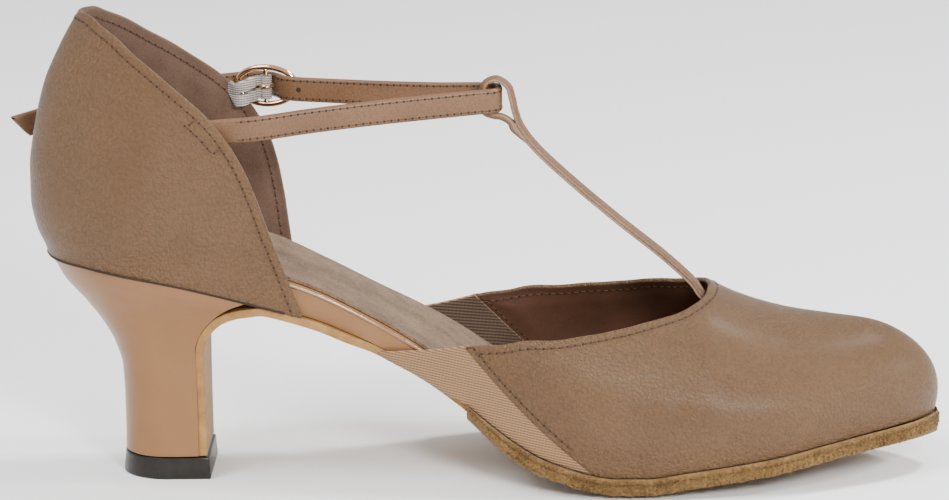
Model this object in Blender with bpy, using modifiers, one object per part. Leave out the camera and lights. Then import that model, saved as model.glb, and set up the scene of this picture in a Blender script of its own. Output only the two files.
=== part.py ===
"""Left t strap shoe for a woman, European size 38: closed toe, open waist with an elastic gore on
each side, high back with an ankle strap, buckle and covered heel.

Lengths in the tables are millimetres and become metres where a mesh is made. X runs from heel to
toe, the inner (medial) side of the foot is -Y, and Z is zero on the floor. The origin lies on the
floor under the middle of the heel's top piece.
"""
import math

import bmesh
import bpy
import numpy as np

MM = 0.001
MEDIAL = -1.0
LATERAL = 1.0

# Wall and layer sizes of the shoe
WALL = 2.2
GORE_WALL = 1.2
FIT_GAP = 0.3
SOLE_LEATHER = 2.2
FOREPART_SOLE = 4.7
SOCK_LEATHER = 1.0
SOLE_MARGIN = 0.7
EDGE_LIFT = 1.3
ARCH_TILT = 0.8

# Ends of the plan: where each end starts to round off and where it stops
HEEL_ROUND = -3.0
HEEL_END = -30.0
TOE_ROUND = 160.0
TOE_END = 207.5
TOE_FAN = 21.5

# Places along the shoe
THROAT = 148.0
QUARTER_FRONT = 39.0
QUARTER_FRONT_OUTER = 34.6
BREAST_TOP = 24.5
FOREPART_START = 82.5
SHANK_END = 100.0
SOCK_END = 196.0

# Gore corners in the side view: rear, upper front and lower front
GORE_REAR = (58.3, 36.4)
GORE_TOP = (82.6, 38.3)
GORE_FOOT = (116.4, 6.6)

# Heel, top piece and straps
TOP_PIECE = 5.9
TOP_PIECE_BACK = -11.4
TOP_PIECE_FRONT = 12.9
TOP_PIECE_HALF = 12.8
STRAP_WIDE = 6.7
STRAP_THICK = 1.8
T_STRAP_WIDE = 6.3
T_STRAP_THICK = 1.8
T_STRAP_ROLL = -0.19

# Buckle: middle of the ring, its turn about Z, half sizes and wire
BUCKLE_AT = (28.1, 25.3, 100.0)
BUCKLE_TURN = math.radians(-11.6)
BUCKLE_LONG = 8.4
BUCKLE_TALL = 5.1
BUCKLE_WIRE = 0.8
BAR_WIRE = 0.7
PRONG_WIRE = 0.55
ELASTIC_WIDE = 6.4
ELASTIC_THICK = 1.5
WALL_LEAN = 0.9


def table(names, *rows):
    """Turn rows of figures into named columns."""
    return {name: np.array([row[i] for row in rows], float) for i, name in enumerate(names.split())}


# Last: middle line and half width of the plan, seam height, top of the insole
LAST = table(
    "x mid half seam bed",
    (-30, 0.0, 25.2, 61.4, 64.8),
    (-20, 0.0, 25.3, 61.1, 63.9),
    (-12, 0.1, 25.5, 60.0, 63.2),
    (-4, 0.2, 25.7, 58.5, 62.5),
    (4, 0.4, 26.0, 56.9, 61.8),
    (12, 0.6, 26.1, 55.0, 61.1),
    (20, 0.8, 25.8, 52.8, 60.2),
    (28, 1.2, 25.1, 50.3, 58.7),
    (36, 1.5, 24.0, 47.7, 56.2),
    (44, 1.7, 23.1, 44.8, 52.8),
    (51, 1.8, 22.8, 41.6, 49.2),
    (58, 1.9, 23.1, 38.4, 45.4),
    (64, 2.0, 24.2, 35.4, 42.1),
    (71, 2.1, 26.0, 31.8, 37.9),
    (78, 2.2, 28.2, 27.4, 32.8),
    (84, 2.3, 30.2, 22.8, 27.7),
    (90, 2.4, 32.2, 18.0, 22.6),
    (96, 2.3, 34.0, 13.6, 17.6),
    (102, 2.2, 35.6, 9.9, 13.4),
    (108, 2.1, 36.8, 7.4, 10.3),
    (115, 2.0, 37.8, 5.4, 8.0),
    (122, 1.8, 38.2, 4.5, 7.0),
    (130, 1.5, 38.2, 4.5, 7.0),
    (141, 0.8, 37.3, 5.9, 8.4),
    (153, -0.3, 35.2, 7.4, 9.9),
    (165, -1.2, 31.9, 8.9, 11.4),
    (177, -1.8, 28.0, 10.8, 13.3),
    (189, -2.2, 24.0, 12.2, 14.7),
    (207.5, -2.5, 19.5, 13.8, 16.3),
)

# Vamp and gores: crown height, how square the section is, how full it is, half width of the mouth
VAMP = table(
    "x crown square full mouth",
    (58, 57.5, 3.2, 0.0, 24.0),
    (72, 57.5, 3.2, 0.2, 26.6),
    (85, 57.0, 3.0, 0.5, 29.2),
    (95, 56.5, 2.9, 0.9, 30.5),
    (105, 56.0, 2.6, 1.3, 30.3),
    (116, 55.5, 2.35, 1.7, 28.6),
    (122, 55.3, 2.2, 1.9, 26.8),
    (128, 55.0, 2.1, 2.0, 24.8),
    (134, 53.8, 2.05, 2.1, 22.2),
    (140, 52.0, 2.0, 2.1, 18.2),
    (144.5, 50.8, 2.0, 2.2, 13.3),
    (146.9, 50.1, 2.0, 2.2, 8.0),
    (148, 49.5, 2.0, 2.2, 0.0),
    (154, 46.7, 2.0, 2.3, 0.0),
    (160, 44.6, 2.0, 2.4, 0.0),
    (169, 42.4, 2.0, 2.5, 0.0),
    (178, 41.2, 2.0, 2.7, 0.0),
    (186, 40.3, 2.0, 3.0, 0.0),
    (207.5, 36.0, 2.0, 3.4, 0.0),
)

# Quarter by height: rearmost point, where it reaches full width, and its width against the seam
BACK = table(
    "z rear full_at wide",
    (47, -30.0, -3, 1.0),
    (61, -30.0, -3, 1.0),
    (68.6, -32.8, -1, 1.02),
    (76, -34.1, 2, 1.02),
    (84, -34.1, 6, 1.0),
    (92.5, -33.0, 10, 0.96),
    (100.6, -31.3, 15, 0.92),
    (108, -29.2, 19, 0.88),
    (115.5, -25.8, 23, 0.83),
    (121.5, -22.6, 25, 0.75),
    (126.4, -19.6, 26, 0.67),
)

# Collar of the quarter from the back down to its lip; the outer side lies a little further forward
COLLAR = table(
    "x z outer",
    (-19.6, 126.4, 0.0),
    (-16.5, 126.0, 0.0),
    (-13.8, 124.3, 0.0),
    (-8.8, 121.2, 0.2),
    (-3.7, 117.0, 0.6),
    (1.4, 113.2, 1.2),
    (6.5, 109.0, 1.8),
    (11.5, 104.9, 2.4),
    (15.8, 100.8, 2.9),
    (20.3, 95.0, 3.2),
    (24.6, 87.5, 3.1),
    (27.7, 79.8, 2.4),
    (30.9, 70.0, 1.0),
)

# Heel by share of its height: back, breast and half width against the seat
HEEL = table(
    "share back breast wide",
    (0.0, -10.7, 9.9, 0.484),
    (0.13, -10.6, 9.9, 0.480),
    (0.27, -10.6, 9.9, 0.480),
    (0.415, -10.9, 9.9, 0.490),
    (0.54, -12.7, 9.9, 0.520),
    (0.66, -16.2, 9.9, 0.580),
    (0.77, -20.7, 11.6, 0.670),
    (0.88, -25.8, 15.4, 0.810),
    (0.955, -28.0, 19.6, 0.935),
    (1.0, -29.7, 24.5, 0.995),
)


def along(columns, name, value, key="x"):
    """Smooth curve without overshoot through one column, read at a value of the key column."""
    xs, ys = columns[key], columns[name]
    value = min(max(value, xs[0]), xs[-1])
    steps = np.diff(xs)
    slopes = np.diff(ys) / steps
    ends = np.zeros(len(xs))
    ends[0], ends[-1] = slopes[0], slopes[-1]
    for i in range(1, len(xs) - 1):
        if slopes[i - 1] * slopes[i] > 0:
            ends[i] = 2.0 * slopes[i - 1] * slopes[i] / (slopes[i - 1] + slopes[i])
    i = int(np.clip(np.searchsorted(xs, value) - 1, 0, len(xs) - 2))
    t = (value - xs[i]) / steps[i]
    return float(
        ys[i] * (1 + 2 * t) * (1 - t) ** 2
        + ys[i + 1] * t * t * (3 - 2 * t)
        + steps[i] * t * (1 - t) * (ends[i] * (1 - t) - ends[i + 1] * t)
    )


def ease(value, start, end):
    """Rise gently from 0 to 1 between start and end."""
    t = min(max((value - start) / (end - start), 0.0), 1.0)
    return t * t * (3.0 - 2.0 * t)


def round_end(x, start, end):
    """Share of the full width left at x where an end rounds off like an ellipse."""
    t = min(max((x - start) / (end - start), 0.0), 1.0)
    return math.sqrt(max(0.0, 1.0 - t ** 2.15))


def outline(x, inset=0.0):
    """Half width of the plan, moved inwards by an inset all the way round."""
    if x < HEEL_ROUND:
        share = round_end(x, HEEL_ROUND, HEEL_END + inset)
    else:
        share = round_end(x, TOE_ROUND, TOE_END - inset)
    return (along(LAST, "half", x) - inset) * share


def mid(x):
    return along(LAST, "mid", x)


def edge_lift(x, share):
    """How far the last's bottom rises towards its edge in the forepart."""
    return EDGE_LIFT * ease(x, 86.0, 112.0) * min(abs(share), 1.15) ** 4


def stations(start, end, count, round_start=False, round_end_too=False):
    """Places along X, set closer together where an end is round."""
    places = []
    for i in range(count):
        t = i / (count - 1)
        if round_start and round_end_too:
            t = 0.5 - 0.5 * math.cos(math.pi * t)
        elif round_start:
            t = 1.0 - math.cos(0.5 * math.pi * t)
        elif round_end_too:
            t = math.sin(0.5 * math.pi * t)
        places.append(start + (end - start) * t)
    return places


def paint(name, colour, rough, metal=0.0):
    material = bpy.data.materials.new(name)
    material.use_nodes = True
    shader = material.node_tree.nodes["Principled BSDF"]
    shader.inputs["Base Color"].default_value = (*colour, 1.0)
    shader.inputs["Roughness"].default_value = rough
    shader.inputs["Metallic"].default_value = metal
    material.diffuse_color = (*colour, 1.0)
    return material


def object_from(mesh, name, material, collection, settle_normals=True):
    """Close up a bmesh as a smooth shaded object with one material."""
    bmesh.ops.remove_doubles(mesh, verts=mesh.verts, dist=0.00002)
    if settle_normals:
        bmesh.ops.recalc_face_normals(mesh, faces=mesh.faces)
    data = bpy.data.meshes.new(name)
    mesh.to_mesh(data)
    mesh.free()
    data.materials.append(material)
    data.shade_smooth()
    obj = bpy.data.objects.new(name, data)
    collection.objects.link(obj)
    return obj


def loft(name, rings, material, collection):
    """Solid through closed rings of equal length, capped at both ends."""
    mesh = bmesh.new()
    made = [[mesh.verts.new([c * MM for c in point]) for point in ring] for ring in rings]
    for lower, upper in zip(made, made[1:]):
        for i in range(len(lower)):
            j = (i + 1) % len(lower)
            mesh.faces.new((lower[i], lower[j], upper[j], upper[i]))
    mesh.faces.new(made[0][::-1])
    mesh.faces.new(made[-1])
    if mesh.calc_volume(signed=True) < 0.0:
        bmesh.ops.reverse_faces(mesh, faces=mesh.faces)
    return object_from(mesh, name, material, collection, False)


def sheet(name, grids, wall, material, collection):
    """Thin wall from one or more grids of points that share an edge, thickened inwards."""
    mesh = bmesh.new()
    for grid in grids:
        made = [[mesh.verts.new([c * MM for c in point]) for point in row] for row in grid]
        for lower, upper in zip(made, made[1:]):
            for i in range(len(lower) - 1):
                mesh.faces.new((lower[i], lower[i + 1], upper[i + 1], upper[i]))
    obj = object_from(mesh, name, material, collection)
    turn_outwards(obj)
    thick = obj.modifiers.new("wall", "SOLIDIFY")
    thick.thickness = wall * MM
    thick.offset = -1.0
    thick.use_even_offset = True
    thick.use_quality_normals = True
    return obj


def turn_outwards(obj):
    """Flip an open wall whose faces look towards the middle of the foot."""
    total = sum(p.normal.y * math.copysign(p.area, p.center.y) for p in obj.data.polygons)
    if total < 0.0:
        obj.data.flip_normals()


def layer_rings(places, inset, top, bottom, shares):
    """Rings of a flat layer of the sole; top and bottom give the height at (x, share of the plan)."""
    rings = []
    for x in places:
        half = max(outline(x, inset), 0.25)
        full = max(outline(x, min(inset, 0.0)), half)
        upper = []
        lower = []
        for share in shares:
            across = half * share
            upper.append((x, mid(x) + across, top(x, across / full)))
            lower.append((x, mid(x) + across, bottom(x, across / full)))
        rings.append(upper + lower[::-1])
    return rings


# Upper surface of the forepart

def seam_height(x, share=1.0):
    return along(LAST, "seam", x) + edge_lift(x, share)


def upper_point(side, foot_x, turn):
    """Point of the vamp above a place on the seam; turn runs from 0 there to 1 on the crown."""
    reach = max(foot_x - TOE_ROUND, 0.0) / (TOE_END - TOE_ROUND)
    crown_x = foot_x - TOE_FAN * reach * reach
    foot = np.array([foot_x, mid(foot_x) + side * outline(foot_x)])
    crown = np.array([crown_x, mid(crown_x)])
    square = along(VAMP, "square", foot_x)
    angle = 0.5 * math.pi * turn
    out = max(math.cos(angle), 0.0) ** (2.0 / square)
    rise = math.sin(angle) ** (2.0 / square)
    away = foot - crown
    away /= np.linalg.norm(away)
    swell = along(VAMP, "full", foot_x) * math.sin(2.0 * angle) * math.cos(angle) ** 2
    flat = crown + (foot - crown) * out + away * swell
    low = seam_height(foot_x) + 0.5 * FIT_GAP
    return (flat[0], flat[1], low + (along(VAMP, "crown", crown_x) - low) * rise)


def turn_at_height(x, z):
    """Turn of the section at x that reaches a height."""
    low = seam_height(x) + 0.5 * FIT_GAP
    rise = min(max((z - low) / (along(VAMP, "crown", x) - low), 0.0), 1.0)
    return math.asin(rise ** (0.5 * along(VAMP, "square", x))) / (0.5 * math.pi)


def mouth_turn(x):
    """Turn at which the section at x ends on the topline."""
    if x >= THROAT:
        return 1.0
    open_share = min(along(VAMP, "mouth", x) / outline(x), 1.0)
    angle = math.acos(open_share ** (0.5 * along(VAMP, "square", x)))
    return angle / (0.5 * math.pi)


def seam_line(share):
    """Side view of the slanted seam between gore and vamp, from its foot to its top."""
    foot, top = GORE_FOOT, (GORE_TOP[0], GORE_TOP[1] + 1.2)
    bow = 1.1 * math.sin(math.pi * share)
    return (foot[0] + (top[0] - foot[0]) * share - 0.7 * bow, foot[1] + (top[1] - foot[1]) * share - bow)


def vamp_back(steps=24):
    """For even steps up the wall, where the vamp's slanted back edge lies along X."""
    heights = []
    places = []
    for i in range(steps + 1):
        x, z = seam_line(i / steps)
        places.append(x)
        heights.append(turn_at_height(x, z) / mouth_turn(x))
    heights[0] = 0.0
    heights[-1] = 1.0
    return heights, places


def vamp_half(side, rows, columns_side, columns_toe):
    """Grid of one half of the vamp, from the gore seam past the throat to the toe."""
    heights, places = vamp_back()
    grid = []
    for r in range(rows + 1):
        level = r / rows
        start = float(np.interp(level, heights, places))
        line = []
        for c in range(columns_side):
            t = c / columns_side
            x = start + (THROAT - start) * (1.0 - (1.0 - t) ** 1.7)
            line.append(upper_point(side, x, level * mouth_turn(x)))
        for c in range(columns_toe + 1):
            t = c / columns_toe
            x = THROAT + (TOE_END - THROAT) * math.sin(0.5 * math.pi * t) ** 0.98
            line.append(upper_point(side, min(x, TOE_END - 0.01), level))
        grid.append(line)
    return grid


def make_vamp(material, collection):
    halves = [vamp_half(side, 9, 13, 14) for side in (MEDIAL, LATERAL)]
    for medial, lateral in zip(*halves):
        lateral[-1] = medial[-1] = tuple((np.array(medial[-1]) + np.array(lateral[-1])) / 2.0)
    first = 13
    for c in range(first, len(halves[0][-1])):
        middle = tuple((np.array(halves[0][-1][c]) + np.array(halves[1][-1][c])) / 2.0)
        halves[0][-1][c] = halves[1][-1][c] = middle
    return sheet("vamp", halves, WALL, material, collection)


def side_wall(side, x, z, inset):
    """Side of the upper at a place in the side view, also just below the seam."""
    low = seam_height(x) + 0.5 * FIT_GAP
    point = upper_point(side, x, turn_at_height(x, z))
    tuck = 0.9 * ease(low - z, 0.0, 3.5)
    return (x, point[1] - side * (inset + tuck), z)


def gore_foot(x):
    """Lower edge of the gore: under the sole's edge at the waist, on the seam further forward."""
    under = seam_height(x) - SOLE_LEATHER + 0.2
    return under + (seam_height(x) + 0.5 * FIT_GAP - under) * ease(x, 76.0, 84.0)


def make_gore(side, name, material, collection):
    grid = []
    for r in range(7):
        level = r / 6
        line = []
        seam_x, seam_z = seam_line(level)
        for c in range(13):
            t = 0.05 + 0.95 * c / 12
            foot_x = GORE_REAR[0] + (GORE_FOOT[0] - GORE_REAR[0]) * t
            top_x = GORE_REAR[0] + (GORE_TOP[0] - GORE_REAR[0]) * t
            top_z = GORE_REAR[1] + (GORE_TOP[1] - GORE_REAR[1]) * t
            foot_z = gore_foot(foot_x)
            x = foot_x + (top_x - foot_x) * level
            z = foot_z + (top_z - foot_z) * level
            blend = t ** 3
            x += blend * (seam_x - (GORE_FOOT[0] + (GORE_TOP[0] - GORE_FOOT[0]) * level)) - 1.6 * FIT_GAP * t
            z += blend * (seam_z - (gore_foot(GORE_FOOT[0]) * (1.0 - level) + GORE_TOP[1] * level))
            line.append(side_wall(side, x, z, 0.45))
        grid.append(line)
    return sheet(name, [grid], GORE_WALL, material, collection)


# Quarter

def quarter_point(side, x, z):
    wide = along(BACK, "wide", z, key="z")
    rear = along(BACK, "rear", z, key="z")
    share = round_end(x, along(BACK, "full_at", z, key="z"), rear)
    return (x, mid(x) + side * along(LAST, "half", x) * wide * share, z)


def collar_x(share):
    """Station on the collar at a share of its length from the back."""
    lengths = np.hypot(np.diff(COLLAR["x"]), np.diff(COLLAR["z"]))
    reach = np.concatenate(([0.0], np.cumsum(lengths)))
    return float(np.interp(share * reach[-1], reach, COLLAR["x"]))


def quarter_spot(side, around, up):
    """Point of the quarter; around runs from the back to the front edge, up from seam to collar."""
    sweep = 1.0 - math.cos(0.5 * math.pi * around)
    front = QUARTER_FRONT if side == MEDIAL else QUARTER_FRONT_OUTER
    foot_x = HEEL_END + (front - HEEL_END) * sweep
    foot_z = along(LAST, "seam", foot_x) + 0.5 * FIT_GAP
    top_x = collar_x(sweep)
    top_z = along(COLLAR, "z", top_x)
    if side == LATERAL:
        top_x += along(COLLAR, "outer", top_x)
    z = foot_z + (top_z - foot_z) * up
    rear_foot, rear_here, rear_top = (along(BACK, "rear", level, key="z") for level in (foot_z, z, top_z))
    rear_bow = rear_here - rear_foot - (rear_top - rear_foot) * up
    x = foot_x + (top_x - foot_x) * up + rear_bow * (1.0 - sweep)
    return quarter_point(side, x, z)


def make_quarter(material, collection):
    grid = []
    for r in range(12):
        line = [quarter_spot(MEDIAL, 1.0 - c / 15, r / 11) for c in range(15)]
        line += [quarter_spot(LATERAL, c / 15, r / 11) for c in range(16)]
        grid.append(line)
    return sheet("quarter", [grid], WALL, material, collection)


# Sole, insole and sock

SHARES = (-1.0, -0.9, -0.7, -0.4, 0.0, 0.4, 0.7, 0.9, 1.0)


def insole_places():
    return stations(HEEL_END + 2.7, TOE_END - 2.9, 42, True, True)


def bed_height(x, share):
    """Top of the insole, a little lower on the outer side of the waist."""
    waist = ease(x, 22.0, 45.0) * (1.0 - ease(x, 68.0, 95.0))
    return along(LAST, "bed", x) + edge_lift(x, share) - ARCH_TILT * waist * (1.0 + share)


def make_insole(material, collection):
    places = insole_places()
    bottom = lambda x, share: seam_height(x, share) + 0.5 * FIT_GAP
    rings = layer_rings(places, 2.65, bed_height, bottom, SHARES)
    return loft("insole", rings, material, collection)


def make_sock(material, collection):
    inner = [x for x in insole_places() if HEEL_END + 3.6 < x < SOCK_END - 0.5]
    places = [HEEL_END + 3.4] + inner + [SOCK_END]
    floor = lambda x, share: bed_height(x, share) + 0.2
    roof = lambda x, share: floor(x, share) + SOCK_LEATHER
    rings = []
    for ring_x in places:
        ring = layer_rings([ring_x], 3.2, roof, floor, SHARES)[0]
        narrow = round_end(ring_x, SOCK_END - 22.0, SOCK_END + 0.3) if ring_x > SOCK_END - 22.0 else 1.0
        rings.append([(x, mid(x) + (y - mid(x)) * narrow, z) for x, y, z in ring])
    return loft("sock", rings, material, collection)


def make_forepart_sole(material, collection):
    """Suede sole of the forepart, feathered where it starts and flat where it treads."""
    places = [FOREPART_START, 84.5, 88.0, 92.0, 96.0, 100.5, 103.0, 106.0, 109.0, 113.5, 118.5, 122.0, 128.0, 134.0]
    places += stations(140.0, TOE_END + SOLE_MARGIN, 15, False, True)
    top = lambda x, share: seam_height(x, share) - 0.5 * FIT_GAP - shank_step(x)
    bottom = lambda x, share: max(
        0.0, top(x, share) + (share_drop(share) - FOREPART_SOLE) * (0.25 + 0.75 * ease(x, 80.0, 96.0))
    )
    return loft("forepart_sole", layer_rings(places, -SOLE_MARGIN, top, bottom, SHARES), material, collection)


def share_drop(share):
    """Sole edge thinned a little at its rounded rim."""
    return 0.35 * max(0.0, abs(share) - 0.85) / 0.15


def shank_step(x):
    """Room above the forepart sole for the end of the shank sole, which is pared thin there."""
    return (1.4 * shank_thick(x) + 0.5) * (1.0 - ease(x, SHANK_END + 0.5, SHANK_END + 6.0))


def shank_thick(x):
    return SOLE_LEATHER - 1.5 * ease(x, 78.0, SHANK_END)


def shank_path():
    """Inner face of the shank sole in the side view: up the heel's breast, then along the waist."""
    points = []
    for share in (0.0, 0.15, 0.3, 0.45, 0.56, 0.66, 0.72, 0.78, 0.84, 0.9, 0.95):
        level = heel_level(share)
        points.append((along(HEEL, "breast", share, key="share") + FIT_GAP, level(BREAST_TOP)))
    for x in (27.0, 31.0, 36.0, 41.0, 46.0, 51.0, 56.0, 61.0, 66.0, 71.0, 76.0, 81.0, 86.0, 91.0, 95.5, SHANK_END):
        points.append((x, along(LAST, "seam", x) - 0.5 * FIT_GAP))
    return points


def make_shank_sole(material, collection):
    path = shank_path()
    rings = []
    for i, (x, z) in enumerate(path):
        before, after = path[max(i - 1, 0)], path[min(i + 1, len(path) - 1)]
        run, rise = after[0] - before[0], after[1] - before[1]
        length = math.hypot(run, rise)
        normal = (rise / length, -run / length)
        thick = shank_thick(x)
        out_x, out_z = x + normal[0] * thick, z + normal[1] * thick
        if x < BREAST_TOP:
            share = (z - TOP_PIECE - FIT_GAP) / (along(LAST, "seam", BREAST_TOP) - TOP_PIECE - FIT_GAP)
            half = heel_half(BREAST_TOP, min(share, 1.0)) - 0.2
        else:
            half = along(LAST, "half", x) - 0.9 - 2.3 * ease(x, 50.0, 60.0)
        blend = ease(x, 86.0, 112.0)
        ring = []
        for share in SHARES:
            ring.append((x, mid(x) + half * share, z + EDGE_LIFT * blend * (share * half / outline(x)) ** 4))
        for share in SHARES[::-1]:
            lift = EDGE_LIFT * blend * (share * half / outline(x)) ** 4
            ring.append((out_x, mid(x) + half * share * (1.0 - 0.012 * (abs(share) > 0.95)), out_z + lift))
        rings.append(ring)
    return loft("shank_sole", rings, material, collection)


# Heel

def heel_level(share):
    """Height above a place on the seat for a share of the heel's height."""
    def level(x_top):
        foot = TOP_PIECE + FIT_GAP
        return foot + (along(LAST, "seam", x_top) - 0.5 * FIT_GAP - foot) * share
    return level


def heel_half(x_top, share):
    return along(LAST, "half", x_top) * along(HEEL, "wide", share, key="share")


def heel_ring(share, steps=11):
    """D shaped section of the heel: round at the back, straight across the breast."""
    back = along(HEEL, "back", share, key="share")
    breast = along(HEEL, "breast", share, key="share")
    level = heel_level(share)
    round_share = 0.56 - 0.06 * share
    half_ring = []
    for i in range(steps):
        angle = 0.5 * math.pi * i / (steps - 4)
        if i <= steps - 4:
            t = round_share * (1.0 - math.cos(angle))
            around = math.sin(angle)
        else:
            t = round_share + (1.0 - round_share) * (i - steps + 4) / 3.0
            around = 1.0
        x_top = -29.7 + (BREAST_TOP + 29.7) * t
        half_ring.append((back + (breast - back) * t, heel_half(x_top, share) * around, level(x_top), x_top))
    side_a = [(x, mid(xt) * share - y, z) for x, y, z, xt in half_ring]
    side_b = [(x, mid(xt) * share + y, z) for x, y, z, xt in half_ring[1:]]
    return side_a + side_b[::-1]


def make_heel(material, collection):
    shares = (0.0, 0.13, 0.27, 0.4, 0.5, 0.58, 0.66, 0.73, 0.79, 0.85, 0.9, 0.95, 0.98, 1.0)
    return loft("heel", [heel_ring(share) for share in shares], material, collection)


def make_top_piece(material, collection):
    """Hard cap under the heel, a little wider at the floor."""
    rings = []
    for z, grow in ((0.0, -0.35), (0.4, 0.0), (TOP_PIECE - 0.4, -0.55), (TOP_PIECE, -0.8)):
        back = TOP_PIECE_BACK - grow
        front = TOP_PIECE_FRONT + 0.6 * grow
        half = TOP_PIECE_HALF + grow
        side = []
        for i in range(11):
            angle = 0.5 * math.pi * min(i, 8) / 8
            x = back + half * (1.0 - math.cos(angle)) if i <= 8 else back + half + (front - back - half) * (i - 8) / 2
            side.append((x, half * math.sin(angle)))
        ring = [(x, -y, z) for x, y in side] + [(x, y, z) for x, y in side[:0:-1]]
        rings.append(ring)
    return loft("top_piece", rings, material, collection)


# Straps

def smooth_path(points, per_span):
    """Rounded path through hand placed points."""
    points = [np.array(p, float) for p in points]
    whole = [2 * points[0] - points[1]] + points + [2 * points[-1] - points[-2]]
    path = []
    for a, b, c, d in zip(whole, whole[1:], whole[2:], whole[3:]):
        for i in range(per_span):
            t = i / per_span
            path.append(
                0.5 * (2 * b + (c - a) * t + (2 * a - 5 * b + 4 * c - d) * t * t + (3 * b - a - 3 * c + d) * t ** 3)
            )
    path.append(points[-1])
    return path


def band(name, path, upright, wide, thick, material, collection, tip=0):
    """Flat band with softened edges along a path; the last rings may be cut to a slanted tip."""
    rings = []
    soft = 0.28 * thick
    for i, place in enumerate(path):
        run = path[min(i + 1, len(path) - 1)] - path[max(i - 1, 0)]
        run = run / np.linalg.norm(run)
        across = np.array(upright, float)
        across = across - run * across.dot(run)
        across /= np.linalg.norm(across)
        out = np.cross(run, across)
        low, high = -0.5 * wide, 0.5 * wide
        left = len(path) - 1 - i
        if left < tip:
            low += (tip - left) / tip * 0.62 * wide
        half = 0.5 * thick
        corners = (
            (low, -half + soft), (low + soft, -half), (high - soft, -half), (high, -half + soft),
            (high, half - soft), (high - soft, half), (low + soft, half), (low, half - soft),
        )
        rings.append([tuple(place + across * a + out * b) for a, b in corners])
    return loft(name, rings, material, collection)


def inside_quarter(side, x, z, depth):
    """Place on the inner face of the quarter, a depth further in."""
    point = quarter_point(side, x, z)
    return (x, point[1] - side * (WALL + depth), z)


def outside_quarter(side, x, z, clear):
    point = quarter_point(side, x, z)
    return (x, point[1] + side * clear, z)


ANKLE_STRAP_FREE = (
    (28.5, -19.2, 97.6), (43.0, -15.9, 98.9), (60.0, -12.0, 100.0), (76.0, -8.0, 100.7), (85.5, -5.4, 101.0),
    (89.3, -4.6, 101.1), (91.3, -3.0, 101.1), (91.8, 0.0, 101.1), (91.3, 3.0, 101.1), (89.3, 4.6, 101.1),
    (85.0, 5.8, 100.9), (74.0, 9.2, 100.3), (60.0, 13.8, 99.9), (48.4, 17.2, 99.8), (42.0, 19.0, 99.8),
    (38.0, 20.1, 99.8), (35.0, 20.9, 99.9), (33.0, 22.3, 99.9), (30.9, 25.8, 99.9), (29.1, 28.0, 99.9), (27.0, 29.1, 99.9), (23.0, 29.7, 99.7),
    (18.0, 29.4, 99.4), (12.0, 28.3, 99.0),
)


def ankle_strap_points():
    depth = FIT_GAP + 0.5 * STRAP_THICK + WALL_LEAN
    start = [inside_quarter(MEDIAL, x, z, depth) for x, z in ((7.5, 95.9), (12.5, 96.3), (18.0, 96.8))]
    tail = [outside_quarter(LATERAL, x, z, depth + 0.2) for x, z in ((5.0, 98.4), (-3.0, 97.6))]
    tail += [(-12.0, 23.3, 96.4), (-21.0, 20.5, 95.1), (-31.0, 17.0, 93.3), (-39.6, 13.9, 91.4)]
    return start + list(ANKLE_STRAP_FREE) + tail


def make_ankle_strap(material, collection, cutters):
    path = smooth_path(ankle_strap_points(), 3)
    strap = band("ankle_strap", path, (0, 0, 1), STRAP_WIDE, STRAP_THICK, material, collection, tip=2)
    cut(strap, prong_hole(cutters))
    return strap


T_STRAP_POINTS = (
    (154.5, 41.6), (151.0, 42.8), (147.9, 44.4), (145.3, 47.1), (142.5, 50.9), (135.0, 57.9), (124.0, 67.0),
    (112.0, 77.6), (102.5, 86.8), (97.9, 92.8), (96.2, 97.0), (95.4, 100.7), (94.3, 104.2), (91.3, 106.3),
    (88.3, 105.2), (87.3, 102.0), (87.2, 99.3), (88.0, 97.3), (90.0, 96.4), (92.5, 95.9), (94.6, 94.6),
    (95.5, 92.8), (96.9, 90.7), (98.4, 88.7),
)


def make_t_strap(material, collection):
    points = [(x, mid(x) * ease(x, 100.0, 148.0), z) for x, z in T_STRAP_POINTS]
    path = smooth_path(points, 3)
    return band("t_strap", path, (0, 1, T_STRAP_ROLL), T_STRAP_WIDE, T_STRAP_THICK, material, collection)


# Buckle

def buckle_place(along_ring, out, up):
    """Place in the buckle's own directions, turned into the shoe's."""
    x, y, z = BUCKLE_AT
    turn = BUCKLE_TURN
    return (
        x + along_ring * math.cos(turn) - out * math.sin(turn),
        y + along_ring * math.sin(turn) + out * math.cos(turn),
        z + up,
    )


def wire(name, points, radius, closed, material, collection, sides=2):
    """Round wire along points, made with a curve and turned into a mesh."""
    curve = bpy.data.curves.new(name, "CURVE")
    curve.dimensions = "3D"
    curve.bevel_depth = radius * MM
    curve.bevel_resolution = sides
    curve.use_fill_caps = True
    spline = curve.splines.new("POLY")
    spline.points.add(len(points) - 1)
    for knot, point in zip(spline.points, points):
        knot.co = (point[0] * MM, point[1] * MM, point[2] * MM, 1.0)
    spline.use_cyclic_u = closed
    holder = bpy.data.objects.new(name, curve)
    collection.objects.link(holder)
    bpy.context.view_layer.update()
    shape = bpy.data.meshes.new_from_object(holder.evaluated_get(bpy.context.evaluated_depsgraph_get()))
    bpy.data.objects.remove(holder)
    bpy.data.curves.remove(curve)
    mesh = bmesh.new()
    mesh.from_mesh(shape)
    bpy.data.meshes.remove(shape)
    return object_from(mesh, name, material, collection)


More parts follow.
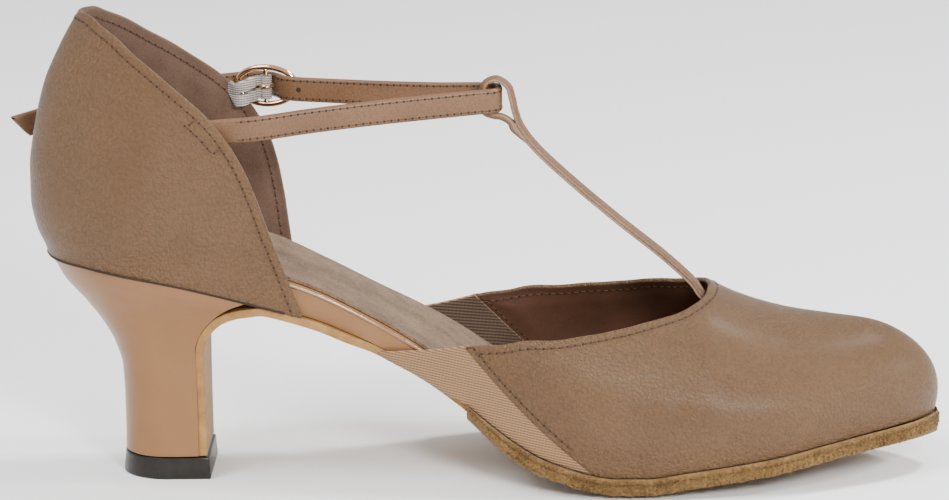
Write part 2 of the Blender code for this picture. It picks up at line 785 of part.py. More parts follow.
def make_buckle_ring(material, collection):
    """Oval ring with a bar across its middle, as one casting."""
    oval = []
    for i in range(28):
        angle = 2.0 * math.pi * i / 28
        oval.append(buckle_place(BUCKLE_LONG * math.cos(angle), -0.5 * math.sin(angle) ** 2, BUCKLE_TALL * math.sin(angle)))
    ring = wire("buckle_ring", oval, BUCKLE_WIRE, True, material, collection)
    ends = [buckle_place(0.0, -0.5, side * (BUCKLE_TALL - 0.1)) for side in (-1, 1)]
    bar = wire("buckle_bar", ends, BAR_WIRE, False, material, collection, 1)
    join = ring.modifiers.new("bar", "BOOLEAN")
    join.operation = "UNION"
    join.solver = "EXACT"
    join.object = bar
    return ring, bar


def prong_points():
    """Curl round the bar, then straight through the strap to rest on the ring."""
    radius = BAR_WIRE + 0.25 + PRONG_WIRE
    points = []
    for i in range(8):
        angle = math.radians(-30.0 - 240.0 * i / 7)
        points.append(buckle_place(radius * math.cos(angle), -0.5 + radius * math.sin(angle), 0.0))
    points.append(buckle_place(3.4, 1.15, 0.0))
    points.append(buckle_place(6.0, 1.5, 0.0))
    points.append(buckle_place(BUCKLE_LONG + 0.6, 1.55, 0.0))
    return points


def make_prong(material, collection):
    return wire("buckle_prong", prong_points(), PRONG_WIRE, False, material, collection, 1)


def prong_hole(cutters):
    """Hole through the strap along the prong."""
    start = buckle_place(0.4, 0.75, 0.0)
    end = buckle_place(9.6, 1.75, 0.0)
    return wire("prong_hole", (start, end), PRONG_WIRE + 0.55, False, paint("hole", (0.1, 0.1, 0.1), 0.5), cutters, 1)


def elastic_points():
    """Middle of the folded elastic, from inside the quarter to the curl of the prong."""
    depth = FIT_GAP + 0.5 * ELASTIC_THICK + WALL_LEAN
    points = [inside_quarter(LATERAL, x, 97.2 + 0.06 * x, depth) for x in (11.0, 16.0, 21.0)]
    points.append((23.4, points[-1][1] + 0.5, 98.9))
    points.append(buckle_place(-2.4, -1.2, -0.3))
    return points


def make_elastic(material, collection):
    path = smooth_path(elastic_points(), 3)
    return band("buckle_elastic", path, (0, 0, 1), ELASTIC_WIDE, ELASTIC_THICK, material, collection)


def cut(obj, tool):
    step = obj.modifiers.new(tool.name, "BOOLEAN")
    step.operation = "DIFFERENCE"
    step.solver = "EXACT"
    step.object = tool


def build():
    for obj in list(bpy.data.objects):
        bpy.data.objects.remove(obj)
    shoe = bpy.data.collections.new("t_strap_shoe")
    cutters = bpy.data.collections.new("cutters")
    for collection in (shoe, cutters):
        bpy.context.scene.collection.children.link(collection)

    leather = paint("upper_leather", (0.32, 0.19, 0.10), 0.5)
    strap_leather = paint("strap_leather", (0.29, 0.16, 0.10), 0.5)
    cover = paint("cover_leather", (0.43, 0.25, 0.15), 0.3)
    sole = paint("sole_leather", (0.66, 0.44, 0.19), 0.6)
    suede = paint("sole_suede", (0.36, 0.22, 0.10), 0.95)
    lining = paint("sock_suede", (0.39, 0.30, 0.21), 0.9)
    elastic = paint("gore_elastic", (0.45, 0.28, 0.19), 0.8)
    keeper = paint("keeper_elastic", (0.5, 0.45, 0.42), 0.7)
    rubber = paint("heel_cap", (0.035, 0.03, 0.028), 0.6)
    brass = paint("buckle_metal", (0.75, 0.45, 0.2), 0.25, 1.0)

    make_insole(cover, shoe)
    make_sock(lining, shoe)
    make_forepart_sole(suede, shoe)
    make_shank_sole(sole, shoe)
    make_heel(cover.copy(), shoe)
    make_top_piece(rubber, shoe)
    make_vamp(leather, shoe)
    make_quarter(leather.copy(), shoe)
    make_gore(MEDIAL, "gore_medial", elastic, shoe)
    make_gore(LATERAL, "gore_lateral", elastic.copy(), shoe)
    make_ankle_strap(strap_leather, shoe, cutters)
    make_t_strap(strap_leather.copy(), shoe)
    ring, bar = make_buckle_ring(brass, shoe)
    shoe.objects.unlink(bar)
    cutters.objects.link(bar)
    make_prong(brass.copy(), shoe)
    make_elastic(keeper, shoe)

    for tool in cutters.objects:
        tool.hide_render = True
        tool.display_type = "WIRE"


build()
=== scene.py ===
import math
import random

import bmesh
import bpy
import numpy as np
from mathutils import Matrix, Vector
from mathutils.bvhtree import BVHTree
from mathutils.kdtree import KDTree


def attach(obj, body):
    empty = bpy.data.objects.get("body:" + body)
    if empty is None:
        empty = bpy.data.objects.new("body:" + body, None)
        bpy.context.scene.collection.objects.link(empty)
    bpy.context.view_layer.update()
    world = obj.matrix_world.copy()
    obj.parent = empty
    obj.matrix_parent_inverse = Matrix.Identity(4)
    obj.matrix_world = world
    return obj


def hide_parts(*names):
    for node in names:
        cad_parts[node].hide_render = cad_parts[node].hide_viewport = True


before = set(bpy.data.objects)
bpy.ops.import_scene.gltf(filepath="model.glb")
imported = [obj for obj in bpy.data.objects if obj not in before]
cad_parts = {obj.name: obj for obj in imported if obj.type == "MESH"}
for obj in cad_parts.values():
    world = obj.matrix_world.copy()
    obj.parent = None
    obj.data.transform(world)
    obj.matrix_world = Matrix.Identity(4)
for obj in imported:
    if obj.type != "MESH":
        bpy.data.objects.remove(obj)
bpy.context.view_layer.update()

# Camera: the photo was taken from the inner side of the left shoe, a little above it, with a long
# lens. The picture leans by one degree.
CAMERA_AIM = Vector((0.0845, 0.0, 0.0595))
CAMERA_AWAY = 1.5
CAMERA_ELEVATION = math.radians(13.5)
CAMERA_AZIMUTH = math.radians(2.0)
CAMERA_LEAN = math.radians(1.1)
CAMERA_LENS = 212.3

look = Vector((
    -math.sin(CAMERA_AZIMUTH) * math.cos(CAMERA_ELEVATION),
    math.cos(CAMERA_AZIMUTH) * math.cos(CAMERA_ELEVATION),
    -math.sin(CAMERA_ELEVATION),
))
level_right = Vector((math.cos(CAMERA_AZIMUTH), math.sin(CAMERA_AZIMUTH), 0.0))
level_up = level_right.cross(look)
right = level_right * math.cos(CAMERA_LEAN) - level_up * math.sin(CAMERA_LEAN)
up = level_right * math.sin(CAMERA_LEAN) + level_up * math.cos(CAMERA_LEAN)
camera = bpy.data.objects.new("camera", bpy.data.cameras.new("camera"))
camera.data.lens = CAMERA_LENS
camera.data.sensor_width = 36.0
camera.data.clip_start = 0.05
camera.matrix_world = Matrix.Translation(CAMERA_AIM - look * CAMERA_AWAY) @ Matrix((
    (right.x, up.x, -look.x),
    (right.y, up.y, -look.y),
    (right.z, up.z, -look.z),
)).to_4x4()
bpy.context.scene.collection.objects.link(camera)
bpy.context.scene.camera = camera

# Floor and light: a flat white floor under and behind the shoe, a lamp overhead, a small one beyond
# the toe, one from the camera's side, one over the heel and an even white surround.
FLOOR_HALF = 3.0
FLOOR_COLOUR = (0.93, 0.93, 0.93)


def area_lamp(name, place, aim, size, power):
    lamp = bpy.data.lights.new(name, "AREA")
    lamp.shape = "DISK"
    lamp.size = size
    lamp.energy = power
    holder = bpy.data.objects.new(name, lamp)
    holder.location = place
    holder.rotation_euler = (Vector(aim) - Vector(place)).to_track_quat("-Z", "Y").to_euler()
    bpy.context.scene.collection.objects.link(holder)


def new_material(name, **values):
    """New material whose shader's own sockets are set by name."""
    material = bpy.data.materials.new(name)
    material.use_nodes = True
    sockets = material.node_tree.nodes["Principled BSDF"].inputs
    for label, value in values.items():
        sockets[label.replace("_", " ")].default_value = value
    return material, material.node_tree, sockets


area_lamp("lamp_overhead", (0.62, 0.27, 0.95), (0.15, 0.0, 0.03), 0.2, 10.0)
area_lamp("lamp_toe", (1.15, -0.1, 0.62), (0.19, 0.0, 0.03), 0.16, 9.0)
area_lamp("lamp_front", (0.5, -1.15, 0.62), (0.12, 0.0, 0.04), 0.3, 19.0)
area_lamp("lamp_rear", (-0.45, -0.35, 0.9), (0.0, 0.0, 0.07), 0.5, 9.0)

world = bpy.data.worlds.new("surround")
world.use_nodes = True
surround = world.node_tree.nodes["Background"].inputs
surround["Color"].default_value = (1.0, 1.0, 1.0, 1.0)
surround["Strength"].default_value = 0.86
bpy.context.scene.world = world

floor_mesh = bmesh.new()
bmesh.ops.create_grid(floor_mesh, x_segments=1, y_segments=1, size=FLOOR_HALF)
floor_data = bpy.data.meshes.new("floor")
floor_mesh.to_mesh(floor_data)
floor_mesh.free()
floor = bpy.data.objects.new("floor", floor_data)
bpy.context.scene.collection.objects.link(floor)
floor_paint = new_material("floor", Base_Color=(*FLOOR_COLOUR, 1.0), Roughness=0.9)[0]
floor_data.materials.append(floor_paint)

# Insole: a fibre board wrapped in smooth glossy leather, thick where the waist of the shoe is open.
# The plan and the profile of the last are kept here in millimetres, as in the solid model.
MM = 0.001
MEDIAL = -1.0
LATERAL = 1.0
WALL = 2.2
FIT_GAP = 0.3
SOLE_LEATHER = 2.2
FOREPART_SOLE = 4.7
SOCK_LEATHER = 1.0
SOLE_MARGIN = 0.7
EDGE_LIFT = 1.3
ARCH_TILT = 0.8
HEEL_ROUND = -3.0
HEEL_END = -30.0
TOE_ROUND = 160.0
TOE_END = 207.5
COVER_DARK = (0.2, 0.09114, 0.032)
COVER_LIGHT = (0.2232, 0.1042, 0.03719)
END_ROUNDNESS = 2.15
FOREPART_RISE = (86.0, 112.0)
WAIST = (22.0, 45.0, 68.0, 95.0)
INSOLE_INSET = 2.65
INSOLE_STATIONS = 120
SHARE_STEPS = 12


def table(names, *rows):
    """Turn rows of figures into named columns."""
    return {name: np.array([row[i] for row in rows], float) for i, name in enumerate(names.split())}


# Last: middle line and half width of the plan, seam height, top of the insole
LAST = table(
    "x mid half seam bed",
    (-30, 0.0, 25.2, 61.4, 64.8),
    (-20, 0.0, 25.3, 61.1, 63.9),
    (-12, 0.1, 25.5, 60.0, 63.2),
    (-4, 0.2, 25.7, 58.5, 62.5),
    (4, 0.4, 26.0, 56.9, 61.8),
    (12, 0.6, 26.1, 55.0, 61.1),
    (20, 0.8, 25.8, 52.8, 60.2),
    (28, 1.2, 25.1, 50.3, 58.7),
    (36, 1.5, 24.0, 47.7, 56.2),
    (44, 1.7, 23.1, 44.8, 52.8),
    (51, 1.8, 22.8, 41.6, 49.2),
    (58, 1.9, 23.1, 38.4, 45.4),
    (64, 2.0, 24.2, 35.4, 42.1),
    (71, 2.1, 26.0, 31.8, 37.9),
    (78, 2.2, 28.2, 27.4, 32.8),
    (84, 2.3, 30.2, 22.8, 27.7),
    (90, 2.4, 32.2, 18.0, 22.6),
    (96, 2.3, 34.0, 13.6, 17.6),
    (102, 2.2, 35.6, 9.9, 13.4),
    (108, 2.1, 36.8, 7.4, 10.3),
    (115, 2.0, 37.8, 5.4, 8.0),
    (122, 1.8, 38.2, 4.5, 7.0),
    (130, 1.5, 38.2, 4.5, 7.0),
    (141, 0.8, 37.3, 5.9, 8.4),
    (153, -0.3, 35.2, 7.4, 9.9),
    (165, -1.2, 31.9, 8.9, 11.4),
    (177, -1.8, 28.0, 10.8, 13.3),
    (189, -2.2, 24.0, 12.2, 14.7),
    (207.5, -2.5, 19.5, 13.8, 16.3),
)


def along(columns, name, value, key="x"):
    """Smooth curve without overshoot through one column, read at a value of the key column."""
    xs, ys = columns[key], columns[name]
    value = min(max(value, xs[0]), xs[-1])
    steps = np.diff(xs)
    slopes = np.diff(ys) / steps
    ends = np.zeros(len(xs))
    ends[0], ends[-1] = slopes[0], slopes[-1]
    for i in range(1, len(xs) - 1):
        if slopes[i - 1] * slopes[i] > 0:
            ends[i] = 2.0 * slopes[i - 1] * slopes[i] / (slopes[i - 1] + slopes[i])
    i = int(np.clip(np.searchsorted(xs, value) - 1, 0, len(xs) - 2))
    t = (value - xs[i]) / steps[i]
    return float(
        ys[i] * (1 + 2 * t) * (1 - t) ** 2
        + ys[i + 1] * t * t * (3 - 2 * t)
        + steps[i] * t * (1 - t) * (ends[i] * (1 - t) - ends[i + 1] * t)
    )


def ease(value, start, end):
    """Rise gently from 0 to 1 between start and end."""
    t = min(max((value - start) / (end - start), 0.0), 1.0)
    return t * t * (3.0 - 2.0 * t)


def between(start, end, share):
    """Value or place at a share of the way from start to end."""
    return start + (end - start) * share


def round_end(x, start, end):
    """Share of the full width left at x where an end rounds off like an ellipse."""
    t = min(max((x - start) / (end - start), 0.0), 1.0)
    return math.sqrt(max(0.0, 1.0 - t ** END_ROUNDNESS))


def outline(x, inset=0.0):
    """Half width of the plan, moved inwards by an inset all the way round."""
    if x < HEEL_ROUND:
        share = round_end(x, HEEL_ROUND, HEEL_END + inset)
    else:
        share = round_end(x, TOE_ROUND, TOE_END - inset)
    return (along(LAST, "half", x) - inset) * share


def mid(x):
    return along(LAST, "mid", x)


def edge_lift(x, share):
    """How far the last's bottom rises towards its edge in the forepart."""
    return EDGE_LIFT * ease(x, *FOREPART_RISE) * min(abs(share), 1.15) ** 4


def stations(start, end, count, round_start=False, round_end_too=False):
    """Places along X, set closer together where an end is round."""
    places = []
    for i in range(count):
        t = i / (count - 1)
        if round_start and round_end_too:
            t = 0.5 - 0.5 * math.cos(math.pi * t)
        elif round_start:
            t = 1.0 - math.cos(0.5 * math.pi * t)
        elif round_end_too:
            t = math.sin(0.5 * math.pi * t)
        places.append(between(start, end, t))
    return places


def seam_height(x, share=1.0):
    return along(LAST, "seam", x) + edge_lift(x, share)


def layer_rings(places, inset, top, bottom, shares):
    """Rings of a flat layer; top and bottom give the height at a place and share of the plan."""
    rings = []
    for x in places:
        half = max(outline(x, inset), 0.25)
        full = max(outline(x, min(inset, 0.0)), half)
        upper, lower = (
            [(x, mid(x) + half * share, level(x, half * share / full)) for share in shares]
            for level in (top, bottom)
        )
        rings.append(upper + lower[::-1])
    return rings


def piece(mesh, name, material, slot, *nodes):
    """Make a named smooth piece that rides with the shoe and stands for CAD nodes."""
    data = bpy.data.meshes.new(name)
    mesh.to_mesh(data)
    mesh.free()
    data.materials.append(material)
    data.shade_smooth()
    obj = bpy.data.objects.new(name, data)
    bpy.context.scene.collection.objects.link(obj)
    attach(obj, "root")
    if nodes:
        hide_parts(*nodes)
    return obj


def add_points(mesh, rings):
    """Vertices of a mesh in metres for rows of points in millimetres."""
    return [[mesh.verts.new([c * MM for c in point]) for point in ring] for ring in rings]


def fill_strip(mesh, low, high, closed=True):
    """Four sided faces between two rings of vertices, or between two open rows."""
    for i in range(len(low) if closed else len(low) - 1):
        j = (i + 1) % len(low)
        mesh.faces.new((low[i], low[j], high[j], high[i]))


def solid_between(rings):
    """Closed mesh through rings of equal length, with a face at each end."""
    mesh = bmesh.new()
    made = add_points(mesh, rings)
    for low, high in zip(made, made[1:]):
        fill_strip(mesh, low, high)
    mesh.faces.new(made[0][::-1])
    mesh.faces.new(made[-1])
    if mesh.calc_volume(signed=True) < 0.0:
        bmesh.ops.reverse_faces(mesh, faces=mesh.faces)
    return mesh


def soften(obj, width, segments=3, angle=35.0):
    """Round the sharp rims of a piece."""
    bevel = obj.modifiers.new("soft_rim", "BEVEL")
    bevel.width = width * MM
    bevel.segments = segments
    bevel.limit_method = "ANGLE"
    bevel.angle_limit = math.radians(angle)
    bevel.use_clamp_overlap = True


def node(tree, kind, **values):
    """Add a shader node and set its sockets or its own properties by name."""
    made = tree.nodes.new("ShaderNode" + kind)
    for name, value in values.items():
        socket = made.inputs.get(name.replace("_", " "))
        if socket is not None:
            socket.default_value = value
        else:
            setattr(made, name, value)
    return made


def new_group(name, takes, gives):
    """Empty node group with named inputs and outputs."""
    group = bpy.data.node_groups.new(name, "ShaderNodeTree")
    for way, sockets in (("INPUT", takes), ("OUTPUT", gives)):
        for label, kind in sockets:
            group.interface.new_socket(label, in_out=way, socket_type="NodeSocket" + kind)
    enter = group.nodes.new("NodeGroupInput").outputs
    leave = group.nodes.new("NodeGroupOutput").inputs
    return group, enter, leave


def maths(tree, operation, *values):
    """Math node on sockets and plain numbers."""
    made = node(tree, "Math", operation=operation)
    for socket, value in zip(made.inputs, values):
        if isinstance(value, (int, float)):
            socket.default_value = value
        else:
            tree.links.new(value, socket)
    return made.outputs[0]


def tinted(tree, source, low, high, start, end):
    """Colour from low to high as a value runs from start to end."""
    span = node(tree, "MapRange", From_Min=start, From_Max=end)
    tree.links.new(source, span.inputs["Value"])
    made = node(tree, "MixRGB", blend_type="MIX")
    tree.links.new(span.outputs["Result"], made.inputs["Fac"])
    for socket, colour in (("Color1", low), ("Color2", high)):
        if isinstance(colour, tuple):
            made.inputs[socket].default_value = (*colour, 1.0)
        else:
            tree.links.new(colour, made.inputs[socket])
    return made.outputs["Color"]


def pebble_group():
    """Leather grain: rounded pebbles with bent rows, fine pores, cloudy tone and painted shade in
    the valleys between the pebbles.
    """
    takes = (
        ("Vector", "Vector"), ("Pebbles per metre", "Float"), ("Clouds per metre", "Float"),
        ("Depth", "Float"), ("Dark", "Color"), ("Light", "Color"), ("Pit", "Color"),
    )
    gives = (("Color", "Color"), ("Cloud", "Float"), ("Normal", "Vector"))
    group, enter, leave = new_group("pebbled_leather", takes, gives)
    links = group.links
    clouds = node(group, "TexNoise", Detail=4.0, Roughness=0.6)
    bend = node(group, "TexNoise", Detail=2.0)
    fine = node(group, "TexNoise", Detail=2.0)
    pebbles = node(group, "TexVoronoi", feature="SMOOTH_F1", Smoothness=0.35)
    count = enter["Pebbles per metre"]
    links.new(enter["Clouds per metre"], clouds.inputs["Scale"])
    links.new(maths(group, "MULTIPLY", count, 0.38), bend.inputs["Scale"])
    links.new(maths(group, "MULTIPLY", count, 3.2), fine.inputs["Scale"])
    links.new(count, pebbles.inputs["Scale"])
    for texture in (clouds, bend, fine):
        links.new(enter["Vector"], texture.inputs["Vector"])
    sway = node(group, "VectorMath", operation="SCALE")
    links.new(bend.outputs["Color"], sway.inputs[0])
    links.new(maths(group, "DIVIDE", 1.1, count), sway.inputs["Scale"])
    shifted = node(group, "VectorMath", operation="ADD")
    links.new(sway.outputs["Vector"], shifted.inputs[0])
    links.new(enter["Vector"], shifted.inputs[1])
    links.new(shifted.outputs["Vector"], pebbles.inputs["Vector"])
    bump = node(group, "Bump", Strength=0.9)
    links.new(enter["Depth"], bump.inputs["Distance"])
    relief = maths(group, "SUBTRACT", fine.outputs["Fac"], pebbles.outputs["Distance"])
    links.new(relief, bump.inputs["Height"])
    links.new(bump.outputs["Normal"], leave["Normal"])
    shade = node(group, "MixRGB", blend_type="MULTIPLY", Fac=1.0)
    tone = tinted(group, clouds.outputs["Fac"], enter["Dark"], enter["Light"], 0.3, 0.7)
    links.new(tone, shade.inputs["Color1"])
    # Painted shade: the colour is multiplied darker towards the valleys between the pebbles.
    pit_shade = tinted(group, pebbles.outputs["Distance"], (1.0, 1.0, 1.0), enter["Pit"], 0.35, 0.75)
    links.new(pit_shade, shade.inputs["Color2"])
    links.new(shade.outputs["Color"], leave["Color"])
    links.new(clouds.outputs["Fac"], leave["Cloud"])
    return group


pebbled = pebble_group()


def placed(tree, group, sockets, vector, **values):
    """Place a node group with its own values and let its colour and normal feed the shader."""
    made = tree.nodes.new("ShaderNodeGroup")
    made.node_tree = group
    tree.links.new(vector, made.inputs["Vector"])
    for label, value in values.items():
        value = (*value, 1.0) if isinstance(value, tuple) else value
        made.inputs[label.replace("_", " ")].default_value = value
    for source, target in (("Color", "Base Color"), ("Normal", "Normal")):
        if source in made.outputs:
            tree.links.new(made.outputs[source], sockets[target])
    return made


def roughened(tree, mask, low, high, sockets):
    """Let a mask set the roughness, from low to high."""
    span = node(tree, "MapRange", To_Min=low, To_Max=high)
    tree.links.new(mask, span.inputs["Value"])
    tree.links.new(span.outputs["Result"], sockets["Roughness"])


def leather(name, dark, light, rough, grain, depth, coat=0.0, cloud=55.0, valley_shade=0.82, shine=0.3):
    """Leather with cloudy colour, rounded pebbles about grain millimetres wide and painted shade
    between them.
    """
    material, tree, sockets = new_material(
        name, Coat_Weight=coat, Coat_Roughness=0.28, Specular_IOR_Level=shine
    )
    skin = placed(
        tree, pebbled, sockets, node(tree, "TexCoord").outputs["Object"],
        Pebbles_per_metre=1000.0 / grain, Clouds_per_metre=cloud, Depth=depth * MM,
        Dark=dark, Light=light, Pit=(valley_shade, valley_shade, valley_shade),
    )
    roughened(tree, skin.outputs["Cloud"], rough - 0.05, rough + 0.07, sockets)
    return material


def bed_height(x, share):
    """Top of the insole, a little lower on the outer side of the waist."""
    waist = ease(x, *WAIST[:2]) * (1.0 - ease(x, *WAIST[2:]))
    return along(LAST, "bed", x) + edge_lift(x, share) - ARCH_TILT * waist * (1.0 + share)


def insole_floor(x, share):
    return seam_height(x, share) + 0.5 * FIT_GAP


shares = [math.sin(0.5 * math.pi * i / SHARE_STEPS) for i in range(-SHARE_STEPS, SHARE_STEPS + 1)]
insole_places = stations(HEEL_END + 2.7, TOE_END - 2.9, INSOLE_STATIONS, True, True)
insole_rings = layer_rings(insole_places, INSOLE_INSET, bed_height, insole_floor, shares)
cover_leather = leather(
    "cover_leather", COVER_DARK, COVER_LIGHT, 0.37, 0.5, 0.012, coat=0.12, valley_shade=0.97
)
insole_mesh = solid_between(insole_rings)
insole = piece(insole_mesh, "insole_board", cover_leather, "cover_leather", "insole")
soften(insole, 0.7)

# Rand: the folded top edge of the wrapped insole, pulled tight and polished, which catches the
# light along the open waist.
RAND_RADIUS = 0.5
RAND_RANGE = (33.0, 82.0)
RAND_DROP = 1.1
RAND_STATIONS = 60


def run_at(path, i):
    """Way from the point before a place on a path to the point after it."""
    return path[min(i + 1, len(path) - 1)] - path[max(i - 1, 0)]


def circle(count):
    """Angles at even steps round a full turn."""
    return [2.0 * math.pi * k / count for k in range(count)]


def tube(rail, radius, sides=8):
    """Rings of a round cord along a rail of points."""
    rings = []
    rail = [Vector(p) for p in rail]
    for i, place in enumerate(rail):
        run = run_at(rail, i).normalized()
        flat = Vector((0.0, 0.0, 1.0)) if abs(run.z) < 0.9 else Vector((1.0, 0.0, 0.0))
        aside = run.cross(flat).normalized() * radius
        over = aside.cross(run)
        spokes = [aside * math.cos(a) + over * math.sin(a) for a in circle(sides)]
        rings.append([tuple(place + spoke) for spoke in spokes])
    return rings


rand_leather = leather(
    "rand_leather", COVER_DARK, COVER_LIGHT, 0.16, 0.5, 0.004, coat=0.9, valley_shade=0.97, shine=0.6
)
for side, tag in ((MEDIAL, "inner"), (LATERAL, "outer")):
    rail = []
    for x in stations(*RAND_RANGE, RAND_STATIONS):
        y = mid(x) + side * (outline(x, INSOLE_INSET) + 0.05)
        rail.append((x, y, bed_height(x, side) - RAND_DROP))
    rand = solid_between(tube(rail, RAND_RADIUS))
    piece(rand, "insole_rand_" + tag, rand_leather, "cover_leather")

# Sock: a full length lining of soft grey suede. It is glued on the insole, cut a little narrower
# than it and round at its front end.
SOCK_DARK = (0.07568, 0.04558, 0.02532)
SOCK_LIGHT = (0.1935, 0.1221, 0.07279)
SOCK_END = 196.0
SOCK_START = HEEL_END + 3.4
SOCK_INSET = 3.2
SOCK_ROUND = 22.0
GLUE = 0.2


def nap_group():
    """Brushed leather: fine fibres over soft patches."""
    takes = (
        ("Vector", "Vector"), ("Fibres per metre", "Float"), ("Depth", "Float"),
        ("Dark", "Color"), ("Light", "Color"),
    )
    gives = (("Color", "Color"), ("Normal", "Vector"))
    group, enter, leave = new_group("brushed_suede", takes, gives)
    links = group.links
    fibres = node(group, "TexNoise", Detail=5.0, Roughness=0.7)
    patches = node(group, "TexNoise", Scale=170.0, Detail=3.0)
    links.new(enter["Fibres per metre"], fibres.inputs["Scale"])
    for texture in (fibres, patches):
        links.new(enter["Vector"], texture.inputs["Vector"])
    soft = maths(group, "MULTIPLY", patches.outputs["Fac"], 0.28)
    both = maths(group, "MULTIPLY_ADD", fibres.outputs["Fac"], 0.72, soft)
    links.new(tinted(group, both, enter["Dark"], enter["Light"], 0.38, 0.62), leave["Color"])
    bump = node(group, "Bump", Strength=0.7)
    links.new(enter["Depth"], bump.inputs["Distance"])
    links.new(fibres.outputs["Fac"], bump.inputs["Height"])
    links.new(bump.outputs["Normal"], leave["Normal"])
    return group


brushed = nap_group()


def suede(name, dark, light, nap, depth, sheen=0.08):
    """Brushed leather with fibres about nap millimetres apart."""
    material, tree, sockets = new_material(
        name, Roughness=0.95, Specular_IOR_Level=0.15, Sheen_Weight=sheen, Sheen_Roughness=0.5
    )
    placed(
        tree, brushed, sockets, node(tree, "TexCoord").outputs["Object"],
        Fibres_per_metre=1000.0 / nap, Depth=depth * MM, Dark=dark, Light=light,
    )
    return material


def sock_floor(x, share):
    return bed_height(x, share) + GLUE


def sock_roof(x, share):
    return sock_floor(x, share) + SOCK_LEATHER


sock_places = [x for x in insole_places if SOCK_START + 0.2 < x < SOCK_END - 0.5]
sock_places = [SOCK_START, *sock_places, SOCK_END]
sock_rings = []
for ring in layer_rings(sock_places, SOCK_INSET, sock_roof, sock_floor, shares):
    narrow = round_end(ring[0][0], SOCK_END - SOCK_ROUND, SOCK_END + 0.3)
    sock_rings.append([(x, between(mid(x), y, narrow), z) for x, y, z in ring])
sock_suede = suede("sock_suede", SOCK_DARK, SOCK_LIGHT, 0.7, 0.12)
sock = piece(solid_between(sock_rings), "sock_lining", sock_suede, "sock_suede", "sock")
soften(sock, 0.35)

# Shank sole: a strip of sole leather two millimetres thick. It runs under the waist and turns down
# over the breast of the heel as a flap; its edges are raw and yellowish.
SOLE_DARK = (0.225, 0.1062, 0.027)
SOLE_LIGHT = (0.36, 0.1935, 0.0594)
TOP_PIECE = 5.9
BREAST_TOP = 24.5
SHANK_START = 27.0
SHANK_END = 100.0
SHANK_INSET = 0.9
FLAP_STATIONS = 34
FLAP_TOP = 0.95


# Heel by share of its height: back, breast and half width against the seat
HEEL = table(
    "share back breast wide",
    (0.0, -10.7, 9.9, 0.484),
    (0.13, -10.6, 9.9, 0.480),
    (0.27, -10.6, 9.9, 0.480),
    (0.415, -10.9, 9.9, 0.490),
    (0.54, -12.7, 9.9, 0.520),
    (0.66, -16.2, 9.9, 0.580),
    (0.77, -20.7, 11.6, 0.670),
    (0.88, -25.8, 15.4, 0.810),
    (0.955, -28.0, 19.6, 0.935),
    (1.0, -29.7, 24.5, 0.995),
)


def heel_level(x_top, share):
    """Height at a share of the heel's height, below a place on the seat."""
    foot = TOP_PIECE + FIT_GAP
    return between(foot, along(LAST, "seam", x_top) - 0.5 * FIT_GAP, share)


def heel_half(x_top, share):
    return along(LAST, "half", x_top) * along(HEEL, "wide", share, key="share")


def shank_thick(x):
    return SOLE_LEATHER - 1.5 * ease(x, 78.0, SHANK_END)


def smoothed(places, rounds=4):
    """Row of places with each drawn towards its neighbours, and both ends kept."""
    for _ in range(rounds):
        nearby = zip(places, places[1:], places[2:])
        places[1:-1] = [0.25 * a + 0.5 * b + 0.25 * c for a, b, c in nearby]
    return places


shank_rail = []
for share in stations(0.0, FLAP_TOP, FLAP_STATIONS):
    breast = along(HEEL, "breast", share, key="share") - 0.1
    shank_rail.append(np.array((breast, heel_level(BREAST_TOP, share))))
for x in stations(SHANK_START, SHANK_END, 60):
    shank_rail.append(np.array((x, along(LAST, "seam", x) - 0.5 * FIT_GAP)))
shank_rail = smoothed(shank_rail)
flap_foot = TOP_PIECE + FIT_GAP
flap_tall = along(LAST, "seam", BREAST_TOP) - flap_foot
shank_rings = []
for i, (x, z) in enumerate(shank_rail):
    run, rise = run_at(shank_rail, i)
    thick = shank_thick(x) / math.hypot(run, rise)
    if x < BREAST_TOP:
        half = heel_half(BREAST_TOP, min((z - flap_foot) / flap_tall, 1.0)) - 0.2
    else:
        half = along(LAST, "half", x) - SHANK_INSET - 2.3 * ease(x, 50.0, 60.0)
    inner, outer = [], []
    for share in shares:
        y = mid(x) + half * share
        lift = EDGE_LIFT * ease(x, *FOREPART_RISE) * (share * half / outline(x)) ** 4
        inner.append((x, y, z + lift))
        outer.append((x + rise * thick, y, z - run * thick + lift))
    shank_rings.append(inner + outer[::-1])
sole_leather = leather(
    "sole_leather", SOLE_DARK, SOLE_LIGHT, 0.55, 0.45, 0.05, valley_shade=0.9, cloud=160.0
)
shank_mesh = solid_between(shank_rings)
shank_sole = piece(shank_mesh, "shank_leather", sole_leather, "sole_leather", "shank_sole")
soften(shank_sole, 0.3)

# Forepart sole: thick chrome suede glued under the forepart, pared thin where it starts and brushed
# to a nap on its tread and edge.
SUEDE_DARK = (0.08075, 0.04165, 0.01275)
SUEDE_LIGHT = (0.2244, 0.1302, 0.04664)
FIBRES = 12000
FIBRE_LONG = (0.5, 1.5)
LUMPS = 0.2
GROOVE = ((0.12, 0.1), (0.3, 0.08), (0.38, -0.3), (0.46, 0.02), (0.75, 0.12))
FOREPART_START = 82.5
PARED = (80.0, 96.0)


def share_drop(share):
    """Sole edge thinned a little at its rounded rim."""
    return 0.35 * max(0.0, abs(share) - 0.85) / 0.15


def shank_step(x, share):
    """Room above the forepart sole for the pared end of the shank sole, filled at the edge."""
    room = (1.4 * shank_thick(x) + 0.5) * (1.0 - ease(x, SHANK_END + 0.5, SHANK_END + 6.0))
    return room * (1.0 - ease(abs(share), 0.9, 0.96))


def tread_roof(x, share):
    return seam_height(x, share) - 0.5 * FIT_GAP - shank_step(x, share)


def tread_floor(x, share):
    """Tread, pared thin where the sole starts and flat on the floor where it would sink in."""
    thick = (FOREPART_SOLE - share_drop(share)) * between(0.25, 1.0, ease(x, *PARED))
    return max(0.0, tread_roof(x, share) - thick)


